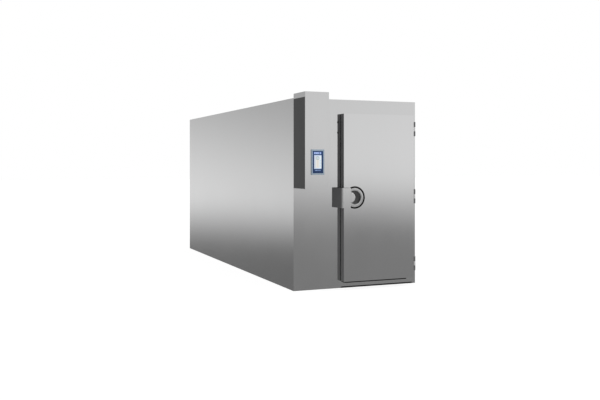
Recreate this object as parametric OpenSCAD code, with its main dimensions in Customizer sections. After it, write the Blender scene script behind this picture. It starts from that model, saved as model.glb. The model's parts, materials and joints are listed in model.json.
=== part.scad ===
// Roll-in blast chiller: a long insulated steel tunnel for food trolleys, with one
// hinged door, a control column on the front and a row of fans inside.
// Millimetres. +Z is up and the front faces -Y. The origin is on the floor, under
// the middle of the whole machine's outline.

/* [Cabinet] */
// Width of the cabinet
body_w = 1705; // [1650:5:2200]
// Length of the cabinet, front to back
body_l = 5060; // [4000:10:8000]
// Height of the cabinet to the roof
body_h = 2350; // [2320:5:2380]
// Thickness of the walls and the roof
wall_t = 100; // [90:5:110]
// Thickness of the floor
floor_t = 100; // [80:1:110]
// Thickness of the outer steel sheets
skin_t = 1.2; // [0.8:0.1:2]
// Thickness of the inner steel sheets
liner_t = 1; // [0.6:0.1:1.5]
// Thickness of the steel deck on the floor
deck_t = 3; // [2:0.5:5]
// Gap left between neighbouring slabs of foam or members of the frame
joint_gap = 0.5; // [0.3:0.1:1]

/* [Door and frame] */
// Distance from the door's right edge to the cabinet's right side
door_margin = 130; // [110:1:160]
// Width of the door
door_w = 986; // [940:1:1010]
// Height of the door
door_h = 2060; // [1900:5:2100]
// Thickness of the door
door_t = 85; // [75:1:110]
// Height of the door's lower edge over the deck
door_rise = 4; // [4:1:12]
// Width of the door's dark edge profile
edge_w = 12; // [8:1:20]
// How far the frame reaches in from the door's edge to the clear opening
frame_lap = 100; // [85:1:120]
// How far the frame stands proud of the front
frame_proud = 75; // [60:1:90]
// Thickness of the frame's lining in the wall's cut edge
reveal_t = 6; // [3:1:12]
// Distance between the frame and the closed door
gasket_gap = 25; // [18:1:30]
// Width of the gasket's foot
gasket_w = 26; // [20:1:32]
// Distance of the gasket from the door's edge
gasket_inset = 12; // [8:1:20]
// Gap between the closed gasket and the frame
seal_gap = 0.3; // [0.2:0.1:0.5]
// Height of the sweep strip under the door
sweep_h = 14; // [8:1:14]
// Thickness of the sweep's blade and of its foot
sweep_t = 12; // [8:1:16]
// Distance from the door's left edge to the start of the sweep strip
sweep_in = 14; // [8:1:40]
// Distance from the door's right edge to the end of the sweep strip
sweep_short = 110; // [60:5:200]
// Thickness of the sill's tread plate
sill_t = 3; // [2:0.5:3.5]
// Depth of the sill's nose below the deck
sill_drop = 16; // [12:1:25]
// Height of the black strip at the floor line
foot_seal_h = 18; // [5:1:18]
// How far that strip stands proud
foot_seal_t = 3; // [2:1:6]
// Distance of that strip's ends from the door's left edge and the cabinet's right side
foot_seal_end = 50; // [30:1:120]
// Radius of the plugs on the frame's left side
plug_r = 15; // [8:1:20]
// Height of the plugs over the frame
plug_t = 8; // [3:1:10]
// Distance from the frame's top down to the middle of each plug
plug_drops = [97, 227];

/* [Hinges] */
// Height of a whole hinge
hinge_h = 179; // [150:1:220]
// Height of each frame-side knuckle
knuckle_h = 62; // [45:1:65]
// Radius of the knuckles
knuckle_r = 11; // [10:0.5:14]
// Radius of the hinge pins
hinge_pin_r = 6; // [4:0.5:8]
// Distance from the door's right edge to the pins' axis
hinge_out = 15; // [15:0.5:18]
// Depth of the pins' axis behind the door's front
hinge_in = 5; // [4:0.5:8]
// Thickness of the frame-side strap
strap_t = 6; // [4:0.5:8]
// Distance between the strap and the door's edge
strap_gap = 2; // [1:0.5:3]
// Width of the door-side leaf on the door's right edge
hinge_leaf_w = 60; // [40:1:75]
// Thickness of the door-side leaf
hinge_leaf_t = 3; // [2:0.5:4]
// Distance from the door's lower edge up to the lowest hinge's middle
hinge_low = 178; // [120:1:300]
// Distance from the door's upper edge down to the highest hinge's middle
hinge_top = 174; // [120:1:300]
// Radius of the screw heads on the hinges
screw_r = 7; // [4:0.5:9]
// Height of the screw heads
screw_h = 3; // [2:0.5:5]
// Radial clearance of a turning or sliding fit
run_fit = 0.05; // [0.02:0.01:0.08]

/* [Handle] */
// Height of the handle's middle over the floor
handle_z = 1135; // [1050:5:1200]
// Height of the handle's cover
cover_h = 244; // [200:2:280]
// How far the cover reaches out past the door's left edge
cover_out = 77; // [70:1:90]
// How far the cover reaches over the door's front
cover_in = 48; // [40:1:52]
// How far the cover stands off the door's front
cover_proud = 95; // [92:1:110]
// Thickness of the cover's sheet
cover_t = 2.5; // [2:0.5:4]
// Radius of the cover's bend
cover_bend = 26; // [12:1:30]
// Clearance between the cover and the cabinet's front
cover_clear = 3; // [2:1:6]
// Radius of the lever's round nose
nose_r = 66; // [55:1:68]
// How far the nose's middle sits over the handle's middle
nose_up = 5; // [0:1:8]
// Distance from the cover's right edge back to the nose's middle
nose_back = 4; // [0:1:8]
// Thickness of the lever's nose
nose_t = 20; // [14:1:20]
// Rounding of the nose's edge
nose_round = 6; // [3:1:7]
// Slot between the cover and the lever's nose
nose_gap = 1.5; // [1:0.1:3]
// How far the lever's arm reaches past the cover's right edge
arm_end = 14; // [12:1:14]
// Thickness of the lever's arm
arm_t = 20; // [14:1:22]
// Height of the lever's arm
arm_h = 100; // [70:2:110]
// Radius of the lever's hub
hub_r = 14; // [12:0.5:15]
// Radius of the lever's pin
lever_pin_r = 6; // [4:0.5:7]
// Distance from the door's left edge back to the lever's pin
pivot_out = 14; // [12:1:16]
// Distance of the lever's pin in front of the door
pivot_proud = 65; // [64:1:70]
// Distance from the lever's pin to the plunger
kick_arm = 25; // [22:1:27]
// Thickness of the lever's kick arm
kick_t = 14; // [10:1:16]
// Radius of the plunger
plunger_r = 8; // [6:0.5:9]
// Gap in front of the plunger
plunger_gap = 0.3; // [0.2:0.1:0.5]
// Distance between the plunger and its strike pad at rest
plunger_travel = 9; // [9:0.5:12]
// Thickness of the strike pad
strike_t = 5; // [3:1:8]
// Height of the latch case
case_h = 120; // [80:2:140]
// Outer radius of the dark ring on the door
ring_r = 138; // [120:1:146]
// Width of the dark ring
ring_w = 20; // [5:1:22]
// How far the ring stands proud of the door
ring_t = 6; // [3:0.5:8]
// Thickness of the escutcheon
escutcheon_t = 3; // [2:0.5:3]
// Distance from the door's left edge to the ring's middle
ring_x = 147; // [147:1:160]
// Radius of the finger recess
bowl_r = 84; // [70:1:90]
// Depth of the finger recess
bowl_d = 45; // [30:1:55]
// Wall of the finger recess
bowl_wall = 2; // [1.5:0.5:4]
// Bend between the recess's wall and its bottom
bowl_bend = 22; // [8:1:26]

/* [Control column] */
// Width of the column
column_w = 308; // [280:2:330]
// How far the column stands proud of the front
column_d = 360; // [300:5:400]
// Height of the column's bottom over the floor
column_z = 1254; // [1150:2:1300]
// Height of the column's top over the roof
column_rise = 51; // [30:1:90]
// Height of the column's cap
cap_h = 63; // [50:1:90]
// Thickness of the column's steel sheet
column_t = 1.5; // [1:0.1:2.5]
// Thickness of the dark side panel
side_t = 4; // [3:0.5:8]
// Width of the display's housing
display_w = 168; // [150:2:200]
// Height of the display's housing
display_h = 299; // [260:1:320]
// Depth of the display's housing
display_d = 18; // [16:1:60]
// Distance from the cabinet's left side to the housing
display_x = 72; // [40:1:90]
// Height of the housing's bottom over the floor
display_z = 1420; // [1380:2:1500]
// Border of the housing left and right of the glass
display_rim = 15; // [8:0.5:24]
// Border of the housing over and under the glass
display_band = 18; // [14:1:24]
// Thickness of the display's glass
glass_t = 4; // [3:0.5:6]
// Radius of the housing's corners
display_r = 8; // [3:1:12]
// Margin round the mounting plate in the column
chassis_margin = 25; // [15:1:40]
// Distance of the mounting plate from the cabinet's front
chassis_off = 12; // [8:1:20]
// Thickness of the mounting plate
chassis_t = 2; // [1.5:0.5:4]
// Radius of the mains cable's gland
gland_r = 14; // [12:0.5:18]
// Radius of the gland's hole
gland_bore = 8; // [6:0.5:9]
// Height of the gland
gland_h = 22; // [16:1:26]
// Distance of the gland's axis from the cabinet's front
gland_y = 60; // [30:5:120]

/* [Evaporator and fans] */
// Distance from the cabinet's left side to the partition's lane side
partition_x = 560; // [540:5:600]
// Thickness of the partition's sheets
partition_t = 2; // [1.5:0.5:3]
// Number of trolley bays, each with one fan
bays = 6; // [4:2:8]
// Height of the fans' axes over the deck
fan_z = 1080; // [900:10:1300]
// Radius of the fans' blades
fan_r = 300; // [200:5:305]
// Clearance between the blades and the ring
tip_gap = 6; // [4:1:10]
// Depth of the fan's ring behind the partition
fan_ring_d = 60; // [58:1:80]
// Number of blades
blades = 5; // [3:1:7]
// Width of a blade
blade_w = 110; // [80:2:110]
// Pitch of the blades in degrees
blade_pitch = 25; // [15:1:26]
// Thickness of a blade
blade_t = 3; // [2:0.5:4]
// Radius of the fan's hub
fan_hub_r = 70; // [50:1:80]
// Radius of the motor
motor_r = 85; // [70:1:95]
// Length of the motor
motor_l = 113; // [90:1:130]
// Radius of the motor's shaft
shaft_r = 10; // [7:0.5:12]
// Width of the motor's bracket arms
bracket_w = 30; // [20:1:40]
// Number of rings in a fan guard, the rim counted
guard_rings = 5; // [3:1:6]
// Radius of the plate in the middle of a guard
guard_plate_r = 40; // [30:1:60]
// Radius of the guard's wire
guard_wire = 2.5; // [2:0.25:3]
// Depth of the coils
coil_d = 180; // [120:5:200]
// Distance of the coils from the left wall's lining
coil_off = 5; // [5:1:20]
// Length of coil left free at each end of its bay
coil_end = 40; // [30:5:80]
// Thickness of the coils' end plates
coil_plate = 3; // [2:0.5:5]
// Height of the coils' underside over the drip tray
coil_lift = 30; // [20:5:60]
// Height left free over the coils
coil_top = 100; // [90:5:200]
// Height of the drip tray's underside over the deck
tray_lift = 30; // [20:5:45]
// Height of the drip tray
tray_h = 100; // [80:5:120]
// Thickness of the drip tray's sheet
tray_t = 1.5; // [1:0.5:3]

/* [Trolley lane] */
// Radius of the guide rails
rail_r = 16; // [10:1:20]
// Distance from the wall to a guide rail's axis
rail_off = 40; // [35:1:50]
// Heights of the guide rails over the deck
rail_heights = [200, 1550];
// Distance between the posts of a guide rail
post_pitch = 900; // [600:50:1200]
// Radius of the posts
post_r = 8; // [5:0.5:10]
// Distance of the guide rails' ends from the end walls
rail_end = 150; // [100:10:300]
// Number of ceiling lamps
lamps = 3; // [2:1:4]
// Length of a lamp
lamp_l = 600; // [300:10:800]
// Width of a lamp
lamp_w = 120; // [80:2:160]
// Height of a lamp, its lens included
lamp_h = 60; // [45:1:80]
// Height of a lamp's lens
lens_h = 25; // [15:1:30]

/* [Services] */
// How far the pipes stick out behind the cabinet
stub_out = 80; // [40:5:120]
// Radius of the suction pipe
suction_r = 20.65; // [14:0.05:22]
// Radius of the liquid pipe
liquid_r = 11.1; // [8:0.1:14]
// Wall of the copper pipes
copper_t = 1.5; // [1:0.1:2]
// Radius of the drain pipe
drain_r = 16; // [12:0.5:22]
// Width of the collar round each pipe on the rear wall
collar_w = 10; // [4:1:16]
// Thickness of that collar
collar_t = 4; // [2:1:6]
// Wall of the drain pipe
drain_t = 2; // [1.5:0.5:3]
// Distance from the cabinet's left side to the liquid pipe
liquid_x = 150; // [130:5:170]
// Distance from the cabinet's left side to the suction pipe
suction_x = 245; // [225:5:260]
// Distance from the roof's lining down to the pipes' axes
pipe_drop = 55; // [45:1:60]
// Distance from the cabinet's left side to the drain pipe
drain_x = 330; // [200:10:480]
// Radius of the pressure relief valve
valve_r = 40; // [30:1:50]
// Radius of the relief valve's flanges
valve_flange_r = 62; // [55:1:75]
// Thickness of the relief valve's flanges
valve_rim = 6; // [3:1:10]
// Wall of the relief valve's tube
valve_wall = 3; // [2:0.5:5]
// Distance from the cabinet's right side to the relief valve
valve_x = 350; // [300:10:450]
// Distance from the roof down to the relief valve's axis
valve_drop = 350; // [250:10:500]
// Clearance round a pipe or valve that passes through a wall
pass_gap = 0.3; // [0.2:0.1:0.6]

/* [Hidden] */
$fn = 48;
over = 1; // how far a cutting shape runs past what it cuts

// Chamber: the space inside the linings
in_x = [wall_t, body_w - wall_t];
in_y = [wall_t, body_l - wall_t];
in_z = [floor_t, body_h - wall_t];
in_l = in_y[1] - in_y[0];
core_x = [wall_t - liner_t, body_w - wall_t + liner_t];
shell_x = [skin_t, body_w - skin_t];
shell_y = [skin_t, body_l - skin_t];

// Door leaf, clear opening and the cut in the front panel
leaf_x = [body_w - door_margin - door_w, body_w - door_margin];
leaf_z = [floor_t + door_rise, floor_t + door_rise + door_h];
leaf_back = -frame_proud - gasket_gap;
leaf_front = leaf_back - door_t;
clear_x = [leaf_x[0] + frame_lap, leaf_x[1] - frame_lap];
clear_top = leaf_z[1] - frame_lap;
cut_x = [clear_x[0] - reveal_t, clear_x[1] + reveal_t];
cut_top = clear_top + reveal_t;

// Hinge axis and the height of the door-side knuckle
hinge_x = leaf_x[1] + hinge_out;
hinge_y = leaf_front + hinge_in;
hinge_heights = [leaf_z[0] + hinge_low, handle_z, leaf_z[1] - hinge_top];
leaf_knuckle_h = hinge_h - 2 * knuckle_h - 2 * joint_gap;

// Handle
cover_x = [leaf_x[0] - cover_out, leaf_x[0] + cover_in];
cover_front = leaf_front - cover_proud;
pivot_x = leaf_x[0] - pivot_out;
pivot_y = leaf_front - pivot_proud;
plunger_x = pivot_x - kick_arm;
kick_y = [pivot_y - kick_t / 2, pivot_y + kick_t / 2];
nose_x = cover_x[1] - nose_back;
// Radius of the nose's left face about the lever's pin
nose_sweep = norm([cover_x[1] - pivot_x, cover_front - pivot_y]) + nose_gap;
arm_y = [cover_front + nose_t, cover_front + nose_t + arm_t];
boss_x = leaf_x[0] + ring_x;
bowl_back = leaf_front - escutcheon_t + bowl_d;

// Column
column_top = body_h + column_rise;
cap_z = column_top - cap_h;
column_front = -column_d;
glass_x = [display_x + display_rim, display_x + display_w - display_rim];
glass_z = [display_z + display_band, display_z + display_h - display_band];

// Fans and coils
bay_l = in_l / bays;
fan_height = floor_t + fan_z;
ring_inner_r = fan_r + tip_gap;
ring_sheet = partition_t;
partition_back = partition_x - partition_t;
impeller_x = partition_x - fan_ring_d / 2;
valve_z = body_h - valve_drop;
impeller_half = blade_w * sin(blade_pitch) / 2 + blade_t;
motor_x = impeller_x - impeller_half - 5;
bracket_reach = ring_inner_r + ring_sheet + bracket_w / 2;
sections = bays / 2;
section_l = in_l / sections;
tray_z = [floor_t + tray_lift, floor_t + tray_lift + tray_h];
coil_x = [wall_t + coil_off, wall_t + coil_off + coil_d];
coil_z = [tray_z[1] + coil_lift, in_z[1] - coil_top];
pipe_z = in_z[1] - pipe_drop;
drain_z = tray_z[0] + drain_r + tray_t + over;
tray_end = in_y[1] - joint_gap;

// The machine's outline, from the display's face to the ends of the pipes
reach_front = column_d + display_d;
reach_back = body_l + stub_out;
front_y = (reach_front - reach_back) / 2;

// Moves from the cabinet's front left corner on the floor to the part's own origin
module cabinet() { translate([-body_w / 2, front_y, 0]) children(); }

// A box between two X, two Y and two Z values
module block(x, y, z) {
    translate([x[0], y[0], z[0]]) cube([x[1] - x[0], y[1] - y[0], z[1] - z[0]]);
}

// Round bars between two values along one axis
module rod_x(x, y, z, r) { translate([x[0], y, z]) rotate([0, 90, 0]) cylinder(r = r, h = x[1] - x[0]); }
module rod_y(x, y, z, r) { translate([x, y[0], z]) rotate([-90, 0, 0]) cylinder(r = r, h = y[1] - y[0]); }
module rod_z(x, y, z, r) { translate([x, y, z[0]]) cylinder(r = r, h = z[1] - z[0]); }

// A rectangle with rounded corners, from its lower left corner
module round_rect(w, h, r) {
    translate([r, 0]) square([w - 2 * r, h]);
    translate([0, r]) square([w, h - 2 * r]);
    for (x = [r, w - r], y = [r, h - r]) translate([x, y]) circle(r = r);
}

// A slab of that outline that stands in the XZ plane
module round_slab(x, y, z, r) {
    translate([x[0], y[1], z[0]]) rotate([90, 0, 0])
        linear_extrude(y[1] - y[0]) round_rect(x[1] - x[0], z[1] - z[0], r);
}

// The doorway's cut through the front panel
module doorway(y) { block(cut_x, y, [floor_t, cut_top]); }

// Pipes and the relief valve where they pass through the rear wall
module rear_holes(y) {
    rod_y(suction_x, y, pipe_z, suction_r + pass_gap);
    rod_y(liquid_x, y, pipe_z, liquid_r + pass_gap);
    rod_y(drain_x, y, drain_z, drain_r + pass_gap);
    rod_y(body_w - valve_x, y, valve_z, valve_r + pass_gap);
}

// Cabinet shell

module slab_cores() {
    color("khaki") cabinet() {
        block(shell_x, shell_y, [skin_t, floor_t - deck_t]);
        block(shell_x, shell_y, [in_z[1] + liner_t, body_h - skin_t]);
    }
}

module floor_skins() {
    color("gainsboro") cabinet() {
        block(shell_x, shell_y, [0, skin_t]);
        block(shell_x, shell_y, [floor_t - deck_t, floor_t]);
    }
}

module wall_cores() {
    color("khaki") cabinet() {
        block([skin_t, core_x[0]], shell_y, in_z);
        block([core_x[1], shell_x[1]], shell_y, in_z);
        difference() {
            block([core_x[0] + joint_gap, core_x[1] - joint_gap], [in_y[1] + liner_t, shell_y[1]], in_z);
            rear_holes([in_y[1], body_l]);
        }
    }
}

module left_wall_skins() {
    color("silver") cabinet() {
        block([0, skin_t], [0, body_l], [0, body_h]);
        block([core_x[0], in_x[0]], in_y, in_z);
    }
}

module right_wall_skins() {
    color("silver") cabinet() {
        block([shell_x[1], body_w], [0, body_l], [0, body_h]);
        block([in_x[1], core_x[1]], in_y, in_z);
    }
}

module rear_wall_skins() {
    color("silver") cabinet() difference() {
        union() {
            block(shell_x, [shell_y[1], body_l], [0, body_h]);
            block(core_x, [in_y[1], in_y[1] + liner_t], in_z);
        }
        rear_holes([in_y[1] - over, body_l + over]);
    }
}

module roof_skins() {
    color("silver") cabinet() {
        block(shell_x, shell_y, [body_h - skin_t, body_h]);
        block(shell_x, shell_y, [in_z[1], in_z[1] + liner_t]);
    }
}

module front_core() {
    y = [skin_t, wall_t - liner_t];
    color("khaki") cabinet() {
        block([core_x[0] + joint_gap, cut_x[0]], y, in_z);
        block([cut_x[0] + joint_gap, cut_x[1] - joint_gap], y, [cut_top, in_z[1]]);
        block([cut_x[1], core_x[1] - joint_gap], y, in_z);
    }
}

module front_skins() {
    color("silver") cabinet() difference() {
        union() {
            block(shell_x, [0, skin_t], [0, body_h]);
            block(core_x, [wall_t - liner_t, wall_t], in_z);
        }
        doorway([-over, wall_t + over]);
    }
}

module relief_valve() {
    x = body_w - valve_x;
    flap_y = body_l - wall_t / 2;
    color("gray") cabinet() difference() {
        union() {
            rod_y(x, [in_y[1] - valve_rim, body_l + valve_rim], valve_z, valve_r);
            rod_y(x, [in_y[1] - valve_rim, in_y[1]], valve_z, valve_flange_r);
            rod_y(x, [body_l, body_l + valve_rim], valve_z, valve_flange_r);
        }
        rod_y(x, [in_y[1] - valve_rim - over, flap_y], valve_z, valve_r - valve_wall);
        rod_y(x, [flap_y + valve_wall, body_l + valve_rim + over], valve_z, valve_r - valve_wall);
    }
}

// Doorway

module frame_jamb(outer, inner, cut) {
    block([min(outer, inner), max(outer, inner)], [-frame_proud, 0], [leaf_z[0], clear_top - joint_gap]);
    block([min(cut, inner), max(cut, inner)], [0, wall_t], [floor_t, clear_top - joint_gap]);
}

module door_frame() {
    color("dimgray") cabinet() {
        frame_jamb(leaf_x[0], clear_x[0], cut_x[0]);
        frame_jamb(leaf_x[1], clear_x[1], cut_x[1]);
        block(leaf_x, [-frame_proud, 0], [clear_top, leaf_z[1]]);
        block(cut_x, [0, wall_t], [clear_top, cut_top]);
    }
}

module sill_plate() {
    x = [clear_x[0] + joint_gap, clear_x[1] - joint_gap];
    color("silver") cabinet() {
        block(x, [-frame_proud, wall_t], [floor_t, floor_t + sill_t]);
        block(x, [-frame_proud, 0], [floor_t - sill_drop, floor_t]);
    }
}

module foot_seal() {
    x = [leaf_x[0] + foot_seal_end, body_w - foot_seal_end];
    color("black") cabinet() block(x, [-foot_seal_t, 0], [joint_gap, foot_seal_h]);
}

module frame_plugs() {
    y = -plug_r - joint_gap;
    color("black") cabinet() for (d = plug_drops)
        rod_x([leaf_x[0] - plug_t, leaf_x[0]], y, leaf_z[1] - d, plug_r);
}

// Heights of the two frame-side knuckles of the hinge at height z
function knuckles(z) = [[z - hinge_h / 2, z - hinge_h / 2 + knuckle_h],
    [z + hinge_h / 2 - knuckle_h, z + hinge_h / 2]];

module hinge_brackets() {
    pad_x = [leaf_x[1], leaf_x[1] + strap_gap + strap_t];
    strap_x = [leaf_x[1] + strap_gap, pad_x[1]];
    color("dimgray") cabinet() for (z = hinge_heights) difference() {
        union() {
            block(pad_x, [-frame_proud, 0], [z - hinge_h / 2, z + hinge_h / 2]);
            for (k = knuckles(z)) {
                block(strap_x, [hinge_y, 0], k);
                rod_z(hinge_x, hinge_y, k, knuckle_r);
            }
        }
        rod_z(hinge_x, hinge_y, [z - hinge_h, z + hinge_h], hinge_pin_r + run_fit / 2);
    }
}

module hinge_pins() {
    color("silver") cabinet() for (z = hinge_heights) {
        rod_z(hinge_x, hinge_y, [z - hinge_h / 2, z + hinge_h / 2], hinge_pin_r);
        rod_z(hinge_x, hinge_y, [z + hinge_h / 2, z + hinge_h / 2 + screw_h], hinge_pin_r + 3);
    }
}

module hinge_screws() {
    x = leaf_x[1] + strap_gap + strap_t;
    color("silver") cabinet()
        for (z = hinge_heights, s = [-1, 1], y = [-frame_proud * 0.7, -frame_proud * 0.25])
            rod_x([x, x + screw_h], y, z + s * (hinge_h / 2 - 2 * screw_r), screw_r);
}

module strike_pad() {
    half = 2.5 * plunger_r;
    color("silver") cabinet() round_slab([plunger_x - half, plunger_x + half], [-strike_t, 0],
        [handle_z - 1.5 * half, handle_z + 1.5 * half], plunger_r / 2);
}

// Door

module recess_hole(y, r) { rod_y(boss_x, y, handle_z, r); }

module door_skin() {
    color("silver") cabinet() difference() {
        block(leaf_x, [leaf_front, leaf_front + skin_t], leaf_z);
        recess_hole([leaf_front - over, leaf_front + skin_t + over], bowl_r + pass_gap);
    }
}

module door_edge() {
    y = [leaf_front + skin_t, leaf_back - liner_t];
    color("dimgray") cabinet() difference() {
        block(leaf_x, y, leaf_z);
        block([leaf_x[0] + edge_w, leaf_x[1] - edge_w], [y[0] - over, y[1] + over],
            [leaf_z[0] + edge_w, leaf_z[1] - edge_w]);
    }
}

module door_core() {
    y = [leaf_front + skin_t, leaf_back - liner_t];
    color("khaki") cabinet() difference() {
        block([leaf_x[0] + edge_w, leaf_x[1] - edge_w], y, [leaf_z[0] + edge_w, leaf_z[1] - edge_w]);
        recess_hole([y[0] - over, bowl_back + pass_gap], bowl_r + pass_gap);
    }
}

module door_liner() {
    color("gainsboro") cabinet() block(leaf_x, [leaf_back - liner_t, leaf_back], leaf_z);
}

// Section of the gasket: a foot on the door, a neck and a magnet bulb towards the frame
module gasket_section() {
    d = gasket_gap - seal_gap;
    w = gasket_w;
    polygon([[0, 0], [w, 0], [w, d * 0.3], [w * 0.8, d * 0.45], [w * 0.92, d],
        [w * 0.08, d], [w * 0.2, d * 0.45], [0, d * 0.3]]);
}

module door_gasket() {
    x = [leaf_x[0] + gasket_inset, leaf_x[1] - gasket_inset];
    top = leaf_z[1] - gasket_inset;
    color("black") cabinet() {
        translate([x[0], leaf_back, leaf_z[0]]) linear_extrude(top - leaf_z[0]) gasket_section();
        translate([x[1] - gasket_w, leaf_back, leaf_z[0]]) linear_extrude(top - leaf_z[0]) gasket_section();
        translate([x[0], leaf_back, top]) rotate([0, 90, 0]) linear_extrude(x[1] - x[0]) gasket_section();
    }
}

module door_sweep() {
    x = [leaf_x[0] + sweep_in, leaf_x[1] - sweep_short];
    lip_z = floor_t - sill_drop / 2;
    color("black") cabinet() {
        block(x, [leaf_front, leaf_back], [leaf_z[0] - sweep_h / 4, leaf_z[0]]);
        block(x, [leaf_front, leaf_front + sweep_t], [leaf_z[0] - sweep_h, leaf_z[0]]);
        block(x, [leaf_back - sweep_t, leaf_back], [leaf_z[0] - sweep_h, leaf_z[0]]);
        block(x, [leaf_back, -frame_proud - seal_gap], [leaf_z[0] - sweep_h, lip_z + sweep_h / 4]);
    }
}

module hinge_leaves() {
    color("silver") cabinet() for (zc = hinge_heights) {
        z = [zc - leaf_knuckle_h / 2, zc + leaf_knuckle_h / 2];
        difference() {
            union() {
                block([leaf_x[1], leaf_x[1] + hinge_leaf_t], [hinge_y, hinge_y + hinge_leaf_w], z);
                block([leaf_x[1], hinge_x], [hinge_y, hinge_y + knuckle_r * 0.6], z);
                rod_z(hinge_x, hinge_y, z, knuckle_r);
            }
            rod_z(hinge_x, hinge_y, [z[0] - over, z[1] + over], hinge_pin_r + run_fit);
        }
    }
}

// Handle

// A rectangle whose front left corner is rounded
module bent_rect(x, y, r) {
    translate([x[0], y[0] + r]) square([x[1] - x[0], y[1] - y[0] - r]);
    translate([x[0] + r, y[0]]) square([x[1] - x[0] - r, r]);
    translate([x[0] + r, y[0] + r]) circle(r = r);
}

// The outline of the space inside the cover, clear of the door
module cap_outline() {
    difference() {
        bent_rect([cover_x[0] + cover_t, cover_x[1]], [cover_front + cover_t, -cover_clear], cover_bend - cover_t);
        translate([leaf_x[0], leaf_front]) square([cover_in + over, -leaf_front]);
    }
}

module handle_cover() {
    color("silver") cabinet() translate([0, 0, handle_z - cover_h / 2]) linear_extrude(cover_h) difference() {
        bent_rect(cover_x, [cover_front, -cover_clear], cover_bend);
        bent_rect([cover_x[0] + cover_t, cover_x[1] + over], [cover_front + cover_t, 0], cover_bend - cover_t);
    }
}

module handle_caps() {
    color("dimgray") cabinet() difference() {
        for (z = [handle_z - cover_h / 2, handle_z + cover_h / 2 - cover_t])
            translate([0, 0, z]) linear_extrude(cover_t) cap_outline();
        rod_z(pivot_x, pivot_y, [handle_z - cover_h, handle_z + cover_h], lever_pin_r + run_fit / 2);
    }
}

module latch_case() {
    color("gray") cabinet() difference() {
        block([cover_x[0] + cover_t, leaf_x[0]], [leaf_front, leaf_back - edge_w],
            [handle_z - case_h / 2, handle_z + case_h / 2]);
        rod_y(plunger_x, [leaf_front - over, leaf_back], handle_z, plunger_r + run_fit);
    }
}

module lever_pin() {
    color("silver") cabinet() rod_z(pivot_x, pivot_y,
        [handle_z - cover_h / 2, handle_z + cover_h / 2], lever_pin_r);
}

module escutcheon() {
    color("silver") cabinet() difference() {
        recess_hole([leaf_front - escutcheon_t, leaf_front], ring_r - ring_w);
        recess_hole([leaf_front - escutcheon_t - over, leaf_front + over], bowl_r + pass_gap);
    }
}

module escutcheon_ring() {
    color("black") cabinet() difference() {
        recess_hole([leaf_front - ring_t, leaf_front], ring_r);
        recess_hole([leaf_front - ring_t - over, leaf_front + over], ring_r - ring_w);
    }
}

// A round dish about Z: radius r, from z = 0 at its bottom up to z = d, with its lower edge rounded
module dish(r, d, bend) {
    rotate_extrude($fn = 96) {
        translate([0, bend]) square([r, d - bend]);
        square([r - bend, bend]);
        intersection() {
            translate([r - bend, bend]) circle(r = bend);
            square([r, d]);
        }
    }
}

module finger_recess() {
    color("black") cabinet() translate([boss_x, bowl_back, handle_z]) rotate([90, 0, 0]) difference() {
        dish(bowl_r, bowl_d, bowl_bend);
        translate([0, 0, bowl_wall]) dish(bowl_r - bowl_wall, bowl_d, bowl_bend - bowl_wall);
    }
}

// The lever's round nose: a disc with rounded edges, its axis along Y
module nose_disc() {
    translate([nose_x, cover_front + nose_t, handle_z + nose_up]) rotate([90, 0, 0])
        rotate_extrude($fn = 96)
        intersection() {
            translate([-nose_r, 0]) round_rect(2 * nose_r, nose_t, nose_round);
            square([nose_r, nose_t]);
        }
}

module handle_lever() {
    tall = [handle_z - arm_h / 2, handle_z + arm_h / 2];
    color("silver") cabinet() difference() {
        union() {
            difference() {
                nose_disc();
                rod_z(pivot_x, pivot_y, [handle_z - cover_h, handle_z + cover_h], nose_sweep);
            }
            block([pivot_x, cover_x[1] + arm_end], arm_y, tall);
            rod_z(pivot_x, pivot_y, tall, hub_r);
            block([plunger_x - plunger_r, pivot_x], kick_y, [handle_z - 1.5 * plunger_r, handle_z + 1.5 * plunger_r]);
        }
        rod_z(pivot_x, pivot_y, [tall[0] - over, tall[1] + over], lever_pin_r + run_fit);
    }
}

module push_plunger() {
    color("black") cabinet() rod_y(plunger_x, [kick_y[1] + plunger_gap, -strike_t - plunger_travel], handle_z, plunger_r);
}

// Control column

module column_cover() {
    z = [column_z, cap_z];
    color("silver") cabinet() {
        block([0, column_w], [column_front, column_front + column_t], z);
        block([column_w - column_t, column_w], [column_front, 0], z);
        block([side_t, column_w], [column_front, 0], [column_z, column_z + column_t]);
    }
}

module column_side_panel() {
    color("dimgray") cabinet() block([0, side_t], [column_front + column_t, 0], [column_z, cap_z]);
}

module column_cap() {
    color("silver") cabinet() difference() {
        block([0, column_w], [column_front, 0], [cap_z, column_top]);
        block([column_t, column_w - column_t], [column_front + column_t, -column_t], [cap_z - over, column_top - column_t]);
        rod_z(column_w / 2, -gland_y, [cap_z, column_top + over], gland_bore + pass_gap);
    }
}

// The mounting plate's outline in the column
plate_x = [chassis_margin, column_w - chassis_margin];
plate_z = [column_z + 2 * chassis_margin, cap_z - 2 * chassis_margin];
plate_front = -chassis_off - chassis_t;

module column_chassis() {
    color("gainsboro") cabinet() {
        block(plate_x, [plate_front, -chassis_off], plate_z);
        for (x = plate_x, z = plate_z)
            rod_y(x + sign(column_w / 2 - x) * chassis_margin, [-chassis_off, 0],
                z + sign(column_z + cap_z - 2 * z) * chassis_margin, chassis_margin / 3);
    }
}

contactor = [45, 80, 85];
module contactors() {
    gap = 12;
    color("dimgray") cabinet() for (i = [0:2]) {
        x = plate_x[0] + chassis_margin + i * (contactor[0] + gap);
        z = plate_z[0] + 6 * chassis_margin;
        block([x, x + contactor[0]], [plate_front - contactor[1] * 0.7, plate_front], [z, z + contactor[2]]);
        block([x + 8, x + contactor[0] - 8], [plate_front - contactor[1], plate_front - contactor[1] * 0.7],
            [z + 15, z + contactor[2] - 15]);
    }
}

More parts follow.
